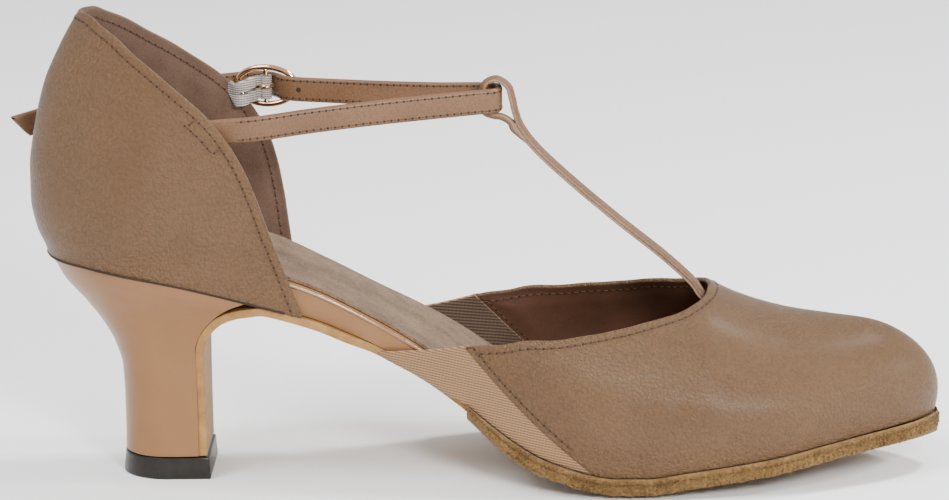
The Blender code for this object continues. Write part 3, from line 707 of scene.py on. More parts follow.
sole_suede = suede("sole_suede", SUEDE_DARK, SUEDE_LIGHT, 0.6, 0.35)
tread_places = [FOREPART_START + i * 0.9 for i in range(64)]
tread_places += stations(tread_places[-1] + 0.9, TOE_END + SOLE_MARGIN, 70, False, True)
tread_rings = layer_rings(tread_places, -SOLE_MARGIN, tread_roof, tread_floor, shares)
lumps = random.Random(3)
edge_count = len(shares)
grooved = []
for ring in tread_rings:
    sides, hems = [], []
    for top, bottom in ((ring[edge_count - 1], ring[edge_count]), (ring[0], ring[-1])):
        away = math.copysign(1.0, top[1] - mid(top[0]))
        line = []
        for down, push in GROOVE:
            x, y, z = Vector(top).lerp(Vector(bottom), down)
            push += lumps.uniform(-0.4, 0.4) * LUMPS
            line.append((x, y + away * push, z + 0.5 * lumps.uniform(-LUMPS, LUMPS)))
        sides.append(line)
    for x, y, z in (ring[edge_count], ring[-1]):
        hems.append((x, y, max(0.0, z + 1.3 * lumps.uniform(-LUMPS, LUMPS))))
    under = [hems[0], *ring[edge_count + 1:-1], hems[1]]
    grooved.append(ring[:edge_count] + sides[0] + under + sides[1][::-1])
tread_mesh = solid_between(grooved)
tread = piece(tread_mesh, "forepart_suede", sole_suede, "sole_suede", "forepart_sole")
soften(tread, 0.25, 2, 50.0)

# Nap of the forepart sole: short loose fibres of the same suede, brushed up so that they stand off
# its edge.
draw = random.Random(7)
fuzz = bmesh.new()
for _ in range(FIBRES):
    ring = tread_rings[int(len(tread_rings) * draw.random() ** 0.8 * 0.999)]
    side = draw.choice((MEDIAL, LATERAL))
    roof_point = Vector(ring[0] if side == MEDIAL else ring[len(shares) - 1])
    floor_point = Vector(ring[-1] if side == MEDIAL else ring[len(shares)])
    root = roof_point.lerp(floor_point, draw.uniform(0.12, 1.0))
    root.x += draw.uniform(-0.4, 0.4)
    root.y -= side * 0.12
    reach = draw.uniform(*FIBRE_LONG)
    forward, away, rise = draw.uniform(-0.9, 0.9), draw.uniform(0.2, 1.0), draw.uniform(-0.5, 0.35)
    lean = Vector((forward, side * away, rise)).normalized()
    tip = root + lean * reach * (0.6 if root.x > 200.0 else 1.0)
    tip.z = max(tip.z, 0.05)
    wide = Vector((draw.uniform(0.05, 0.14), 0.0, draw.uniform(-0.1, 0.1)))
    fuzz.faces.new([fuzz.verts.new(corner * MM) for corner in (root - wide, root + wide, tip)])
piece(fuzz, "forepart_nap", sole_suede, "sole_suede")

# Heel: a moulded block wrapped in the same glossy leather as the insole. Its sections are round at
# the back and straight across the breast, where the flap of the shank sole covers it.
HEEL_BACK = -29.7


def heel_ring(share, steps):
    """D shaped section of the heel: round at the back, straight across the breast."""
    back = along(HEEL, "back", share, key="share")
    breast = along(HEEL, "breast", share, key="share")
    round_share = 0.56 - 0.06 * share
    half_ring = []
    for i in range(steps):
        if i <= steps - 4:
            angle = 0.5 * math.pi * i / (steps - 4)
            t = round_share * (1.0 - math.cos(angle))
            around = math.sin(angle)
        else:
            t = between(round_share, 1.0, (i - steps + 4) / 3.0)
            around = 1.0
        x_top = between(HEEL_BACK, BREAST_TOP, t)
        x, z = between(back, breast, t), heel_level(x_top, share)
        half_ring.append((x, mid(x_top) * share, heel_half(x_top, share) * around, z))
    near = [(x, y - half, z) for x, y, half, z in half_ring]
    far = [(x, y + half, z) for x, y, half, z in half_ring[1:]]
    return near + far[::-1]


heel_mesh = solid_between([heel_ring(i / 60.0, 28) for i in range(61)])
heel = piece(heel_mesh, "covered_heel", cover_leather, "cover_leather", "heel")
soften(heel, 0.3, angle=50.0)

# Top piece: a cap of hard dark rubber, slightly wider at the floor. It is nailed under the heel and
# trimmed to its D shape.
CAP_DARK = (0.008, 0.0062, 0.0045)
CAP_LIGHT = (0.016, 0.013, 0.010)
TOP_PIECE_BACK = -11.4
TOP_PIECE_FRONT = 12.9
TOP_PIECE_HALF = 12.8
# Levels of the cap: height and how far it is wider than at its widest
CAP_LEVELS = (
    (0.0, -0.3), (0.25, -0.08), (0.6, 0.0),
    (TOP_PIECE - 0.5, -0.55), (TOP_PIECE - 0.15, -0.62), (TOP_PIECE, -0.8),
)

cap_rubber = leather("heel_cap", CAP_DARK, CAP_LIGHT, 0.34, 0.6, 0.015, cloud=300.0, valley_shade=0.95)
cap_rings = []
for z, grow in CAP_LEVELS:
    back = TOP_PIECE_BACK - grow
    front = TOP_PIECE_FRONT + 0.6 * grow
    half = TOP_PIECE_HALF + grow
    arc = [0.5 * math.pi * i / 24 for i in range(25)]
    rim = [(back + half * (1.0 - math.cos(a)), half * math.sin(a)) for a in arc]
    rim += [(back + half + (front - back - half) * i / 4, half) for i in range(1, 5)]
    cap_rings.append([(x, -y, z) for x, y in rim] + [(x, y, z) for x, y in rim[:0:-1]])
cap = piece(solid_between(cap_rings), "heel_top_piece", cap_rubber, "heel_cap", "top_piece")
soften(cap, 0.25, 2, 60.0)

# Vamp: the closed toe, cut from one piece of grained calf with a leather lining. Its wide mouth
# runs from gore to gore round the throat and is turned in and stitched.
CALF_DARK = (0.1017, 0.05002, 0.01792)
CALF_LIGHT = (0.123, 0.06232, 0.02326)
LINING_DARK = (0.05676, 0.02408, 0.01333)
LINING_LIGHT = (0.086, 0.0387, 0.02236)
THREAD_DARK = (0.040, 0.020, 0.009)
THREAD_LIGHT = (0.095, 0.049, 0.023)
# Painted shade: the dark colour of the discs for needle and prong holes and of the cord in the seat
# groove.
SHADE_DARK = (0.02, 0.012, 0.008)
SHADE_LIGHT = (0.035, 0.02, 0.012)
HOLE_RADIUS = 0.34
ROW_INSET = 2.1
SEAM_ROW_INSET = 1.4
VAMP_ROWS = 34
VAMP_SIDE = 60
VAMP_TOE = 64
VAMP_MIDDLE = (165.0, 34.0, 24.0)
TOE_FAN = 21.5
THROAT = 148.0
GORE_REAR = (58.3, 36.4)
GORE_TOP = (82.6, 38.3)
GORE_FOOT = (116.4, 6.6)


# Vamp and gores: crown height, how square the section is, how full it is, half width of the mouth
VAMP = table(
    "x crown square full mouth",
    (58, 57.5, 3.2, 0.0, 24.0),
    (72, 57.5, 3.2, 0.2, 26.6),
    (85, 57.0, 3.0, 0.5, 29.2),
    (95, 56.5, 2.9, 0.9, 30.5),
    (105, 56.0, 2.6, 1.3, 30.3),
    (116, 55.5, 2.35, 1.7, 28.6),
    (122, 55.3, 2.2, 1.9, 26.8),
    (128, 55.0, 2.1, 2.0, 24.8),
    (134, 53.8, 2.05, 2.1, 22.2),
    (140, 52.0, 2.0, 2.1, 18.2),
    (144.5, 50.8, 2.0, 2.2, 13.3),
    (146.9, 50.1, 2.0, 2.2, 8.0),
    (148, 49.5, 2.0, 2.2, 0.0),
    (154, 46.7, 2.0, 2.3, 0.0),
    (160, 44.6, 2.0, 2.4, 0.0),
    (169, 42.4, 2.0, 2.5, 0.0),
    (178, 41.2, 2.0, 2.7, 0.0),
    (186, 40.3, 2.0, 3.0, 0.0),
    (207.5, 36.0, 2.0, 3.4, 0.0),
)


def upper_point(side, foot_x, turn):
    """Point of the vamp above a place on the seam; turn runs from 0 there to 1 on the crown."""
    reach = max(foot_x - TOE_ROUND, 0.0) / (TOE_END - TOE_ROUND)
    crown_x = foot_x - TOE_FAN * reach * reach
    foot = np.array([foot_x, mid(foot_x) + side * outline(foot_x)])
    crown = np.array([crown_x, mid(crown_x)])
    square = along(VAMP, "square", foot_x)
    angle = 0.5 * math.pi * turn
    out = max(math.cos(angle), 0.0) ** (2.0 / square)
    rise = math.sin(angle) ** (2.0 / square)
    away = foot - crown
    away /= np.linalg.norm(away)
    swell = along(VAMP, "full", foot_x) * math.sin(2.0 * angle) * math.cos(angle) ** 2
    flat = between(crown, foot, out) + away * swell
    low = seam_height(foot_x) + 0.5 * FIT_GAP
    return (flat[0], flat[1], between(low, along(VAMP, "crown", crown_x), rise))


def turn_at_height(x, z):
    """Turn of the section at x that reaches a height."""
    low = seam_height(x) + 0.5 * FIT_GAP
    rise = min(max((z - low) / (along(VAMP, "crown", x) - low), 0.0), 1.0)
    return math.asin(rise ** (0.5 * along(VAMP, "square", x))) / (0.5 * math.pi)


def mouth_turn(x):
    """Turn at which the section at x ends on the topline."""
    if x >= THROAT:
        return 1.0
    open_share = min(along(VAMP, "mouth", x) / outline(x), 1.0)
    angle = math.acos(open_share ** (0.5 * along(VAMP, "square", x)))
    return angle / (0.5 * math.pi)


def seam_line(share):
    """Side view of the slanted seam between gore and vamp, from its foot to its top."""
    bow = 1.1 * math.sin(math.pi * share)
    x = between(GORE_FOOT[0], GORE_TOP[0], share) - 0.7 * bow
    return x, between(GORE_FOOT[1], GORE_TOP[1] + 1.2, share) - bow


def vamp_back(steps=24):
    """For even steps up the wall, where the vamp's slanted back edge lies along X."""
    line = [seam_line(i / steps) for i in range(steps + 1)]
    heights = [turn_at_height(x, z) / mouth_turn(x) for x, z in line]
    heights[0], heights[-1] = 0.0, 1.0
    return heights, [x for x, z in line]


def vamp_half(side):
    """Grid of one half of the vamp, from the gore seam past the throat to the toe."""
    heights, places = vamp_back()
    grid = []
    for r in range(VAMP_ROWS + 1):
        level = r / VAMP_ROWS
        start = float(np.interp(level, heights, places))
        line = []
        for c in range(VAMP_SIDE):
            x = between(start, THROAT, 1.0 - (1.0 - c / VAMP_SIDE) ** 1.7)
            line.append(upper_point(side, x, level * mouth_turn(x)))
        for c in range(VAMP_TOE + 1):
            x = between(THROAT, TOE_END, math.sin(0.5 * math.pi * c / VAMP_TOE) ** 0.98)
            line.append(upper_point(side, min(x, TOE_END - 0.01), level))
        grid.append(line)
    return grid


def join(row_a, row_b, i):
    """Let two rows meet half way at one of their places."""
    row_a[i] = row_b[i] = tuple((np.array(row_a[i]) + np.array(row_b[i])) / 2.0)


RIM_LIP = 0.6
RIM_FADE = 6.0
RIM_BULGE = 0.4
RIM_STEPS = 6
# Soft creases of the flanks: place, fall in degrees, half length, half width and depth
VAMP_CREASES = (
    (152.0, 36.0, -52.0, 11.0, 2.6, 0.28),
    (166.0, 25.0, -12.0, 11.0, 4.5, -0.42),
    (129.0, 29.0, 24.0, 15.0, 3.6, 0.34),
    (141.0, 18.0, -20.0, 13.0, 4.5, 0.3),
    (190.0, 22.0, -30.0, 7.0, 2.6, 0.2),
)


def creased(point, side, creases):
    """Point moved into or out of the flank by the creases near it."""
    x, y, z = point
    for place_x, place_z, fall, long, wide, depth in creases:
        turn = math.radians(fall)
        u = (x - place_x) * math.cos(turn) + (z - place_z) * math.sin(turn)
        v = (z - place_z) * math.cos(turn) - (x - place_x) * math.sin(turn)
        y -= side * depth * math.exp(-((u / long) ** 2) - (v / wide) ** 2)
    return (x, y, z)


def shell(name, grids, wall, outer, lining, slot, node_name, lip=RIM_LIP):
    """Wall of real thickness from grids of points, thinner at its rounded rim, with a lining."""
    mesh = bmesh.new()
    for grid in grids:
        made = add_points(mesh, grid)
        for low, high in zip(made, made[1:]):
            fill_strip(mesh, low, high, closed=False)
    bmesh.ops.remove_doubles(mesh, verts=mesh.verts, dist=0.00001)
    bmesh.ops.recalc_face_normals(mesh, faces=mesh.faces)
    outward = 0.0
    for face in mesh.faces:
        outward += face.normal.y * math.copysign(face.calc_area(), face.calc_center_median().y)
    if outward < 0.0:
        bmesh.ops.reverse_faces(mesh, faces=mesh.faces)
    mesh.normal_update()
    skin, faces = list(mesh.verts), list(mesh.faces)
    loops = [edge.link_loops[0] for edge in mesh.edges if edge.is_boundary]
    border = [(loop.vert, loop.link_loop_next.vert) for loop in loops]
    near = KDTree(len(border))
    runs = {}
    for i, (a, b) in enumerate(border):
        near.insert(a.co, i)
        for v in (a, b):
            runs[v] = runs.get(v, Vector()) + (b.co - a.co).normalized()
    near.balance()
    inner = {}
    for v in skin:
        share = between(lip, 1.0, ease(near.find(v.co)[2] / MM, 0.0, RIM_FADE))
        inner[v] = mesh.verts.new(v.co - v.normal * wall * share * MM)
    rims = {}
    for v, run in runs.items():
        away = run.normalized().cross(v.normal).normalized() * RIM_BULGE * MM
        centre = 0.5 * (v.co + inner[v].co)
        half = 0.5 * (v.co - inner[v].co)
        turns = [math.pi * k / RIM_STEPS for k in range(1, RIM_STEPS)]
        arc = [mesh.verts.new(centre + half * math.cos(t) + away * math.sin(t)) for t in turns]
        rims[v] = [v, *arc, inner[v]]
    for face in faces:
        mesh.faces.new([inner[v] for v in face.verts][::-1]).material_index = 1
    for a, b in border:
        for k in range(RIM_STEPS):
            strip = mesh.faces.new((rims[b][k], rims[a][k], rims[a][k + 1], rims[b][k + 1]))
            strip.material_index = 1 if k == RIM_STEPS - 1 else 0
    obj = piece(mesh, name, outer, slot, node_name)
    obj.data.materials.append(lining)
    return obj


def skin_of(obj):
    """Search tree over the outer face of a shell."""
    faces = [face.vertices[:] for face in obj.data.polygons]
    return BVHTree.FromPolygons([v.co for v in obj.data.vertices], faces)


def row_on(skin, edge, middle, inset):
    """Row a fixed way in from an edge towards its panel's middle, with the skin's normals."""
    edge = [Vector(place) for place in edge]
    goals = []
    for i, place in enumerate(edge):
        run = run_at(edge, i)
        if run.length < 1e-6:
            continue
        inward = skin.find_nearest(place * MM)[1].cross(run).normalized()
        if inward.dot(Vector(middle) - place) < 0.0:
            inward.negate()
        goals.append(place + inward * inset)
    return [skin.find_nearest(goal * MM)[:2] for goal in smoothed(goals)]


def row_inside(skin, row, wall):
    """The same row where it comes out on the lining."""
    return [skin.find_nearest(spot - normal * wall * MM)[:2] for spot, normal in row]


# Rings of one thread: place along it and how full it is there
THREAD_RINGS = ((-0.5, 0.25), (-0.38, 0.8), (0.0, 1.0), (0.38, 0.8), (0.5, 0.25))


def stitches(name, lines, slot, pitch=2.1, long=1.45, radius=0.24, proud=0.04):
    """Threads laid end to end along lines of places and normals, with dark discs of painted shade
    for the needle holes between.
    """
    mesh = bmesh.new()
    for line in lines:
        travelled = 0.0
        due = 0.5 * pitch * MM
        for (a, normal_a), (b, normal_b) in zip(line, line[1:]):
            step = (b - a).length
            while step > 1e-7 and travelled + step >= due:
                t = (due - travelled) / step
                out = normal_a.lerp(normal_b, t).normalized()
                run = (b - a).normalized()
                aside = out.cross(run)
                middle = a.lerp(b, t) + out * proud * MM
                rings = []
                for reach, swell in THREAD_RINGS:
                    sunk = out * (1.0 - swell) * 0.5 * radius * MM
                    centre = middle + run * reach * long * MM - sunk
                    spread = radius * swell * MM
                    spokes = [aside * math.cos(a) + out * math.sin(a) * 0.8 for a in circle(6)]
                    rings.append([mesh.verts.new(centre + spoke * spread) for spoke in spokes])
                for low, high in zip(rings, rings[1:]):
                    fill_strip(mesh, low, high)
                mesh.faces.new(rings[0][::-1])
                mesh.faces.new(rings[-1])
                # A flat dark disc of painted shade stands for the needle hole.
                hole = middle + run * 0.5 * pitch * MM + out * (0.03 - proud) * MM
                spokes = [aside * math.cos(a) + run * math.sin(a) for a in circle(6)]
                rim = [mesh.verts.new(hole + spoke * HOLE_RADIUS * MM) for spoke in spokes]
                mesh.faces.new(rim).material_index = 1
                due += pitch * MM
            travelled += step
    bmesh.ops.recalc_face_normals(mesh, faces=mesh.faces)
    obj = piece(mesh, name, thread, slot)
    obj.data.materials.append(painted_shade)
    return obj


calf = leather(
    "upper_leather", CALF_DARK, CALF_LIGHT, 0.33, 0.9, 0.62, coat=0.04, valley_shade=0.84, shine=0.33
)
vamp_lining = leather("vamp_lining", LINING_DARK, LINING_LIGHT, 0.5, 0.6, 0.03, valley_shade=0.93)
thread = leather("thread", THREAD_DARK, THREAD_LIGHT, 0.6, 0.25, 0.03, cloud=900.0)
# Painted shade for the holes and the seat groove.
painted_shade = leather("painted_shade", SHADE_DARK, SHADE_LIGHT, 0.9, 0.3, 0.01)

vamp_halves = [vamp_half(side) for side in (MEDIAL, LATERAL)]
for c in range(VAMP_SIDE, VAMP_SIDE + VAMP_TOE + 1):
    join(vamp_halves[0][-1], vamp_halves[1][-1], c)
for rows in zip(*vamp_halves):
    join(*rows, -1)
vamp_halves = [
    [[creased(point, side, VAMP_CREASES) for point in row] for row in half]
    for side, half in zip((MEDIAL, LATERAL), vamp_halves)
]
vamp = shell("vamp_calf", vamp_halves, WALL, calf, vamp_lining, "upper_leather", "vamp")
vamp_skin = skin_of(vamp)
vamp_lines = []
for side, half in zip((MEDIAL, LATERAL), vamp_halves):
    middle = (VAMP_MIDDLE[0], side * VAMP_MIDDLE[1], VAMP_MIDDLE[2])
    mouth_row = row_on(vamp_skin, half[-1][1:VAMP_SIDE + 1], middle, ROW_INSET)
    seam_row = row_on(vamp_skin, [row[0] for row in half[2:-1]], middle, SEAM_ROW_INSET)
    vamp_lines += [mouth_row, seam_row]
    vamp_lines += [row_inside(vamp_skin, row, WALL) for row in (seam_row, mouth_row)]
stitches("vamp_stitches", vamp_lines, "upper_leather")

# Gores: triangles of ribbed elastic that join vamp and waist, so that the arch can flex. Each wraps
# round the insole's edge and is caught under the sole.
# Colours of the gores' face and back: the darker is painted shade in the rib valleys, the lighter
# painted light on the rib tops.
ELASTIC_SHADED = (0.102, 0.0527, 0.02342)
ELASTIC_LIT = (0.297, 0.1728, 0.0855)
BACK_SHADED = (0.030, 0.017, 0.010)
BACK_LIT = (0.105, 0.064, 0.041)
GORE_WALL = 1.2
GORE_ROWS = 24
GORE_COLUMNS = 48
GORE_LAP = 1.3 * FIT_GAP
GORE_TILT = (0.985, 0.17)


def side_wall(side, x, z, inset):
    """Side of the upper at a place in the side view, also just below the seam."""
    low = seam_height(x) + 0.5 * FIT_GAP
    point = upper_point(side, x, turn_at_height(x, z))
    tuck = 0.9 * ease(low - z, 0.0, 3.5)
    return (x, point[1] - side * (inset + tuck), z)


def gore_foot(x):
    """Lower edge of the gore: under the sole's edge at the waist, on the seam further forward."""
    under = seam_height(x) - SOLE_LEATHER + 0.2
    return between(under, seam_height(x) + 0.5 * FIT_GAP, ease(x, 76.0, 84.0))


def rib_group():
    """Ribbed elastic: ribs across V with a fine weave along them, dark in the valleys and light on
    the tops as painted shade.
    """
    takes = (("Vector", "Vector"), ("Rib spacing", "Float"), ("Dark", "Color"), ("Light", "Color"))
    gives = (("Color", "Color"), ("Height", "Float"))
    group, enter, leave = new_group("ribbed_elastic", takes, gives)
    parts = node(group, "SeparateXYZ")
    group.links.new(enter["Vector"], parts.inputs[0])
    waves = []
    for axis, ratio in (("Y", 1.0), ("X", 0.8)):
        turns = maths(group, "DIVIDE", parts.outputs[axis], enter["Rib spacing"])
        waves.append(maths(group, "SINE", maths(group, "MULTIPLY", turns, 2.0 * math.pi * ratio)))
    height = maths(group, "MULTIPLY_ADD", waves[1], 0.16, waves[0])
    # Painted shade: darker in the rib valleys, lighter on the rib tops.
    tone = tinted(group, height, enter["Dark"], enter["Light"], -1.16, 1.16)
    group.links.new(tone, leave["Color"])
    group.links.new(maths(group, "MULTIPLY_ADD", height, 0.43, 0.5), leave["Height"])
    return group


ribbed = rib_group()


def elastic_material(name, dark, light, spacing, depth):
    """Elastic with ribs a spacing apart, laid along the piece's flat map, with painted shade on the
    ribs.
    """
    material, tree, sockets = new_material(
        name, Roughness=0.8, Specular_IOR_Level=0.25, Sheen_Weight=0.15
    )
    flat = node(tree, "UVMap", uv_map="flat").outputs["UV"]
    weave = placed(tree, ribbed, sockets, flat, Rib_spacing=spacing * MM, Dark=dark, Light=light)
    bump = node(tree, "Bump", Strength=0.8, Distance=depth * MM)
    tree.links.new(weave.outputs["Height"], bump.inputs["Height"])
    tree.links.new(bump.outputs["Normal"], sockets["Normal"])
    return material


def lay_flat(obj, place_of):
    """UV map in metres from each vertex's own place."""
    layer = obj.data.uv_layers.new(name="flat")
    for loop in obj.data.loops:
        layer.data[loop.index].uv = place_of(obj.data.vertices[loop.vertex_index].co)


gore_elastic = elastic_material("gore_elastic", ELASTIC_SHADED, ELASTIC_LIT, 0.7, 0.12)
gore_back = elastic_material("gore_back", BACK_SHADED, BACK_LIT, 0.85, 0.12)
for side, tag in ((MEDIAL, "medial"), (LATERAL, "lateral")):
    gore_grid = []
    for r in range(GORE_ROWS + 1):
        level = r / GORE_ROWS
        seam_x, seam_z = seam_line(level)
        bend_x = seam_x - between(GORE_FOOT[0], GORE_TOP[0], level)
        bend_z = seam_z - between(gore_foot(GORE_FOOT[0]), GORE_TOP[1], level)
        line = []
        for t in stations(0.05, 1.0, GORE_COLUMNS + 1):
            foot_x = between(GORE_REAR[0], GORE_FOOT[0], t)
            top_x, top_z = (between(rear, top, t) for rear, top in zip(GORE_REAR, GORE_TOP))
            x = between(foot_x, top_x, level) + t ** 3 * bend_x + GORE_LAP * t
            z = between(gore_foot(foot_x), top_z, level) + t ** 3 * bend_z
            line.append(side_wall(side, x, z, 0.45))
        gore_grid.append(line)
    gore = shell(
        "gore_" + tag + "_web", [gore_grid], GORE_WALL, gore_elastic, gore_back,
        "gore_elastic", "gore_" + tag, lip=1.0,
    )
    over, fall = GORE_TILT
    lay_flat(gore, lambda co: (co.x * over - co.z * fall, co.z * over + co.x * fall))

# Quarter: the high closed back, from the same calf with a brown suede lining. Its collar falls
# from the back to the waist and is turned in and stitched like the mouth of the vamp.
QUARTER_LINING_DARK = (0.0738, 0.0414, 0.027)
QUARTER_LINING_LIGHT = (0.1332, 0.0792, 0.0549)
QUARTER_CREASES = (
    (-22.0, 84.0, 84.0, 17.0, 4.0, 0.34),
    (4.0, 63.0, 18.0, 16.0, 5.0, 0.36),
    (19.0, 82.0, -66.0, 14.0, 2.4, 0.3),
    (24.0, 61.0, -72.0, 9.0, 3.0, 0.25),
)
QUARTER_FRONT = 39.0
QUARTER_FRONT_OUTER = 34.6
QUARTER_ROWS = 52
QUARTER_COLUMNS = 64
BOX_HEIGHTS = (93.5, 103.0)
BOX_INSET = 5.2


# Quarter by height: rearmost point, where it reaches full width, and its width against the seam
BACK = table(
    "z rear full_at wide",
    (47, -30.0, -3, 1.0),
    (61, -30.0, -3, 1.0),
    (68.6, -32.8, -1, 1.02),
    (76, -34.1, 2, 1.02),
    (84, -34.1, 6, 1.0),
    (92.5, -33.0, 10, 0.96),
    (100.6, -31.3, 15, 0.92),
    (108, -29.2, 19, 0.88),
    (115.5, -25.8, 23, 0.83),
    (121.5, -22.6, 25, 0.75),
    (126.4, -19.6, 26, 0.67),
)


# Collar of the quarter from the back down to its lip; the outer side lies a little further forward
COLLAR = table(
    "x z outer",
    (-19.6, 126.4, 0.0),
    (-16.5, 126.0, 0.0),
    (-13.8, 124.3, 0.0),
    (-8.8, 121.2, 0.2),
    (-3.7, 117.0, 0.6),
    (1.4, 113.2, 1.2),
    (6.5, 109.0, 1.8),
    (11.5, 104.9, 2.4),
    (15.8, 100.8, 2.9),
    (20.3, 95.0, 3.2),
    (24.6, 87.5, 3.1),
    (27.7, 79.8, 2.4),
    (30.9, 70.0, 1.0),
)


def quarter_point(side, x, z):
    wide = along(BACK, "wide", z, key="z")
    rear = along(BACK, "rear", z, key="z")
    share = round_end(x, along(BACK, "full_at", z, key="z"), rear)
    return (x, mid(x) + side * along(LAST, "half", x) * wide * share, z)


def reach_along(path):
    """Length of a path up to each of its places."""
    steps = [float(np.linalg.norm(b - a)) for a, b in zip(path, path[1:])]
    return np.concatenate(([0.0], np.cumsum(steps)))


def collar_x(share):
    """Station on the collar at a share of its length from the back."""
    reach = reach_along(np.column_stack((COLLAR["x"], COLLAR["z"])))
    return float(np.interp(share * reach[-1], reach, COLLAR["x"]))


def quarter_spot(side, around, up):
    """Point of the quarter; around runs from the back to the front edge, up from seam to collar."""
    sweep = 1.0 - math.cos(0.5 * math.pi * around)
    foot_x = between(HEEL_END, QUARTER_FRONT if side == MEDIAL else QUARTER_FRONT_OUTER, sweep)
    foot_z = along(LAST, "seam", foot_x) + 0.5 * FIT_GAP
    top_x = collar_x(sweep)
    top_z = along(COLLAR, "z", top_x)
    if side == LATERAL:
        top_x += along(COLLAR, "outer", top_x)
    z = between(foot_z, top_z, up)
    rear_foot, rear_here, rear_top = (along(BACK, "rear", at, key="z") for at in (foot_z, z, top_z))
    rear_bow = rear_here - between(rear_foot, rear_top, up)
    return quarter_point(side, between(foot_x, top_x, up) + rear_bow * (1.0 - sweep), z)


quarter_lining = suede(
    "quarter_lining", QUARTER_LINING_DARK, QUARTER_LINING_LIGHT, 0.3, 0.03, sheen=0.12
)
quarter_columns = [(MEDIAL, 1.0 - c / QUARTER_COLUMNS) for c in range(QUARTER_COLUMNS)]
quarter_columns += [(LATERAL, c / QUARTER_COLUMNS) for c in range(QUARTER_COLUMNS + 1)]
quarter_grid = []
for r in range(QUARTER_ROWS + 1):
    line = []
    for side, around in quarter_columns:
        point = quarter_spot(side, around, r / QUARTER_ROWS)
        line.append(creased(point, side, QUARTER_CREASES))
    quarter_grid.append(line)
quarter = shell(
    "quarter_calf", [quarter_grid], WALL, calf, quarter_lining, "upper_leather", "quarter"
)
quarter_skin = skin_of(quarter)
collar_lines = []
for side, order in ((MEDIAL, 1), (LATERAL, -1)):
    edge = [row[::order][0] for row in quarter_grid[1:]]
    edge += quarter_grid[-1][::order][1:QUARTER_COLUMNS]
    middle = (0.0, side * 25.0, 66.0)
    collar_row = row_on(quarter_skin, edge, middle, ROW_INSET)
    collar_lines += [collar_row, row_inside(quarter_skin, collar_row, WALL)]
    if side == MEDIAL:
        low, high = BOX_HEIGHTS
        box_edge = [place for place in edge[QUARTER_ROWS + 1:] if low < place[2] < high]
        near_row = row_on(quarter_skin, box_edge, middle, ROW_INSET)
        far_row = row_on(quarter_skin, box_edge, middle, BOX_INSET)
        collar_lines.append(far_row)
        for end in (0, -1):
            (a, out_a), (b, out_b) = near_row[end], far_row[end]
            collar_lines.append([(a.lerp(b, t / 4), out_a.lerp(out_b, t / 4)) for t in range(5)])
stitches("quarter_stitches", collar_lines, "upper_leather")

# Seat seam: a thin dark cord of painted shade lies in the groove where the lasted quarter meets
# the top of the heel, between two folded leather edges that are pressed and glued together.
SHADE_CORD_RADIUS = 0.34
GROOVE_STEPS = 48

seat_rail = []
for i in range(-GROOVE_STEPS, GROOVE_STEPS + 1):
    sweep = 1.0 - math.cos(0.5 * math.pi * abs(i) / GROOVE_STEPS)
    x = between(HEEL_END, QUARTER_FRONT_OUTER, sweep)
    seat_rail.append((x, mid(x) + math.copysign(outline(x, 0.1), i), along(LAST, "seam", x)))
seat_shade_cord = solid_between(tube(seat_rail, SHADE_CORD_RADIUS, 6))
piece(seat_shade_cord, "seat_shade_cord", painted_shade, "upper_leather")

# Ankle strap: one long folded strap, sewn inside the inner quarter. It runs through the loop of the
# t strap, back to the buckle and on along the outer quarter, and ends in a cut tip.
STRAP_DARK = (0.1218, 0.05916, 0.02727)
STRAP_LIGHT = (0.1496, 0.07569, 0.03637)
STRAP_ROW = 0.95
STRAP_HOLES = (
    (37.2, 20.4, 99.9), (18.5, 29.4, 99.4), (10.5, 28.0, 98.9), (2.5, 26.0, 98.2),
    (-5.5, 24.3, 97.3),
)
HOLE_WIDE = 1.4
STRAP_WIDE = 6.7
STRAP_THICK = 1.8
WALL_LEAN = 0.9


def smooth_path(points, per_span):
    """Rounded path through given points."""
    points = [np.array(p, float) for p in points]
    whole = [2 * points[0] - points[1]] + points + [2 * points[-1] - points[-2]]
    path = []
    for a, b, c, d in zip(whole, whole[1:], whole[2:], whole[3:]):
        for i in range(per_span):
            t = i / per_span
            square, cube = 2 * a - 5 * b + 4 * c - d, 3 * b - a - 3 * c + d
            path.append(0.5 * (2 * b + (c - a) * t + square * t * t + cube * t ** 3))
    path.append(points[-1])
    return path


def inside_quarter(side, x, z, depth):
    """Place on the inner face of the quarter, a depth further in."""
    point = quarter_point(side, x, z)
    return (x, point[1] - side * (WALL + depth), z)


def outside_quarter(side, x, z, clear):
    """Place off the outer face of the quarter."""
    point = quarter_point(side, x, z)
    return (x, point[1] + side * clear, z)


# Middle of the strap between its sewn start and its tail along the outer quarter
ANKLE_STRAP_FREE = (
    (28.5, -19.2, 97.6), (43.0, -15.9, 98.9), (60.0, -12.0, 100.0), (76.0, -8.0, 100.7),
    (85.5, -5.4, 101.0), (89.3, -4.6, 101.1), (91.3, -3.0, 101.1), (91.8, 0.0, 101.1),
    (91.3, 3.0, 101.1), (89.3, 4.6, 101.1), (85.0, 5.8, 100.9), (74.0, 9.2, 100.3),
    (60.0, 13.8, 99.9), (48.4, 17.2, 99.8), (42.0, 19.0, 99.8), (38.0, 20.1, 99.8),
    (35.0, 20.9, 99.9), (33.0, 22.3, 99.9), (30.9, 25.8, 99.9), (29.1, 28.0, 99.9),
    (27.0, 29.1, 99.9), (23.0, 29.7, 99.7), (18.0, 29.4, 99.4), (12.0, 28.3, 99.0),
)
STRAP_START = ((7.5, 95.9), (12.5, 96.3), (18.0, 96.8))
STRAP_END = ((-12.0, 23.3, 96.4), (-21.0, 20.5, 95.1), (-31.0, 17.0, 93.3), (-39.6, 13.9, 91.4))


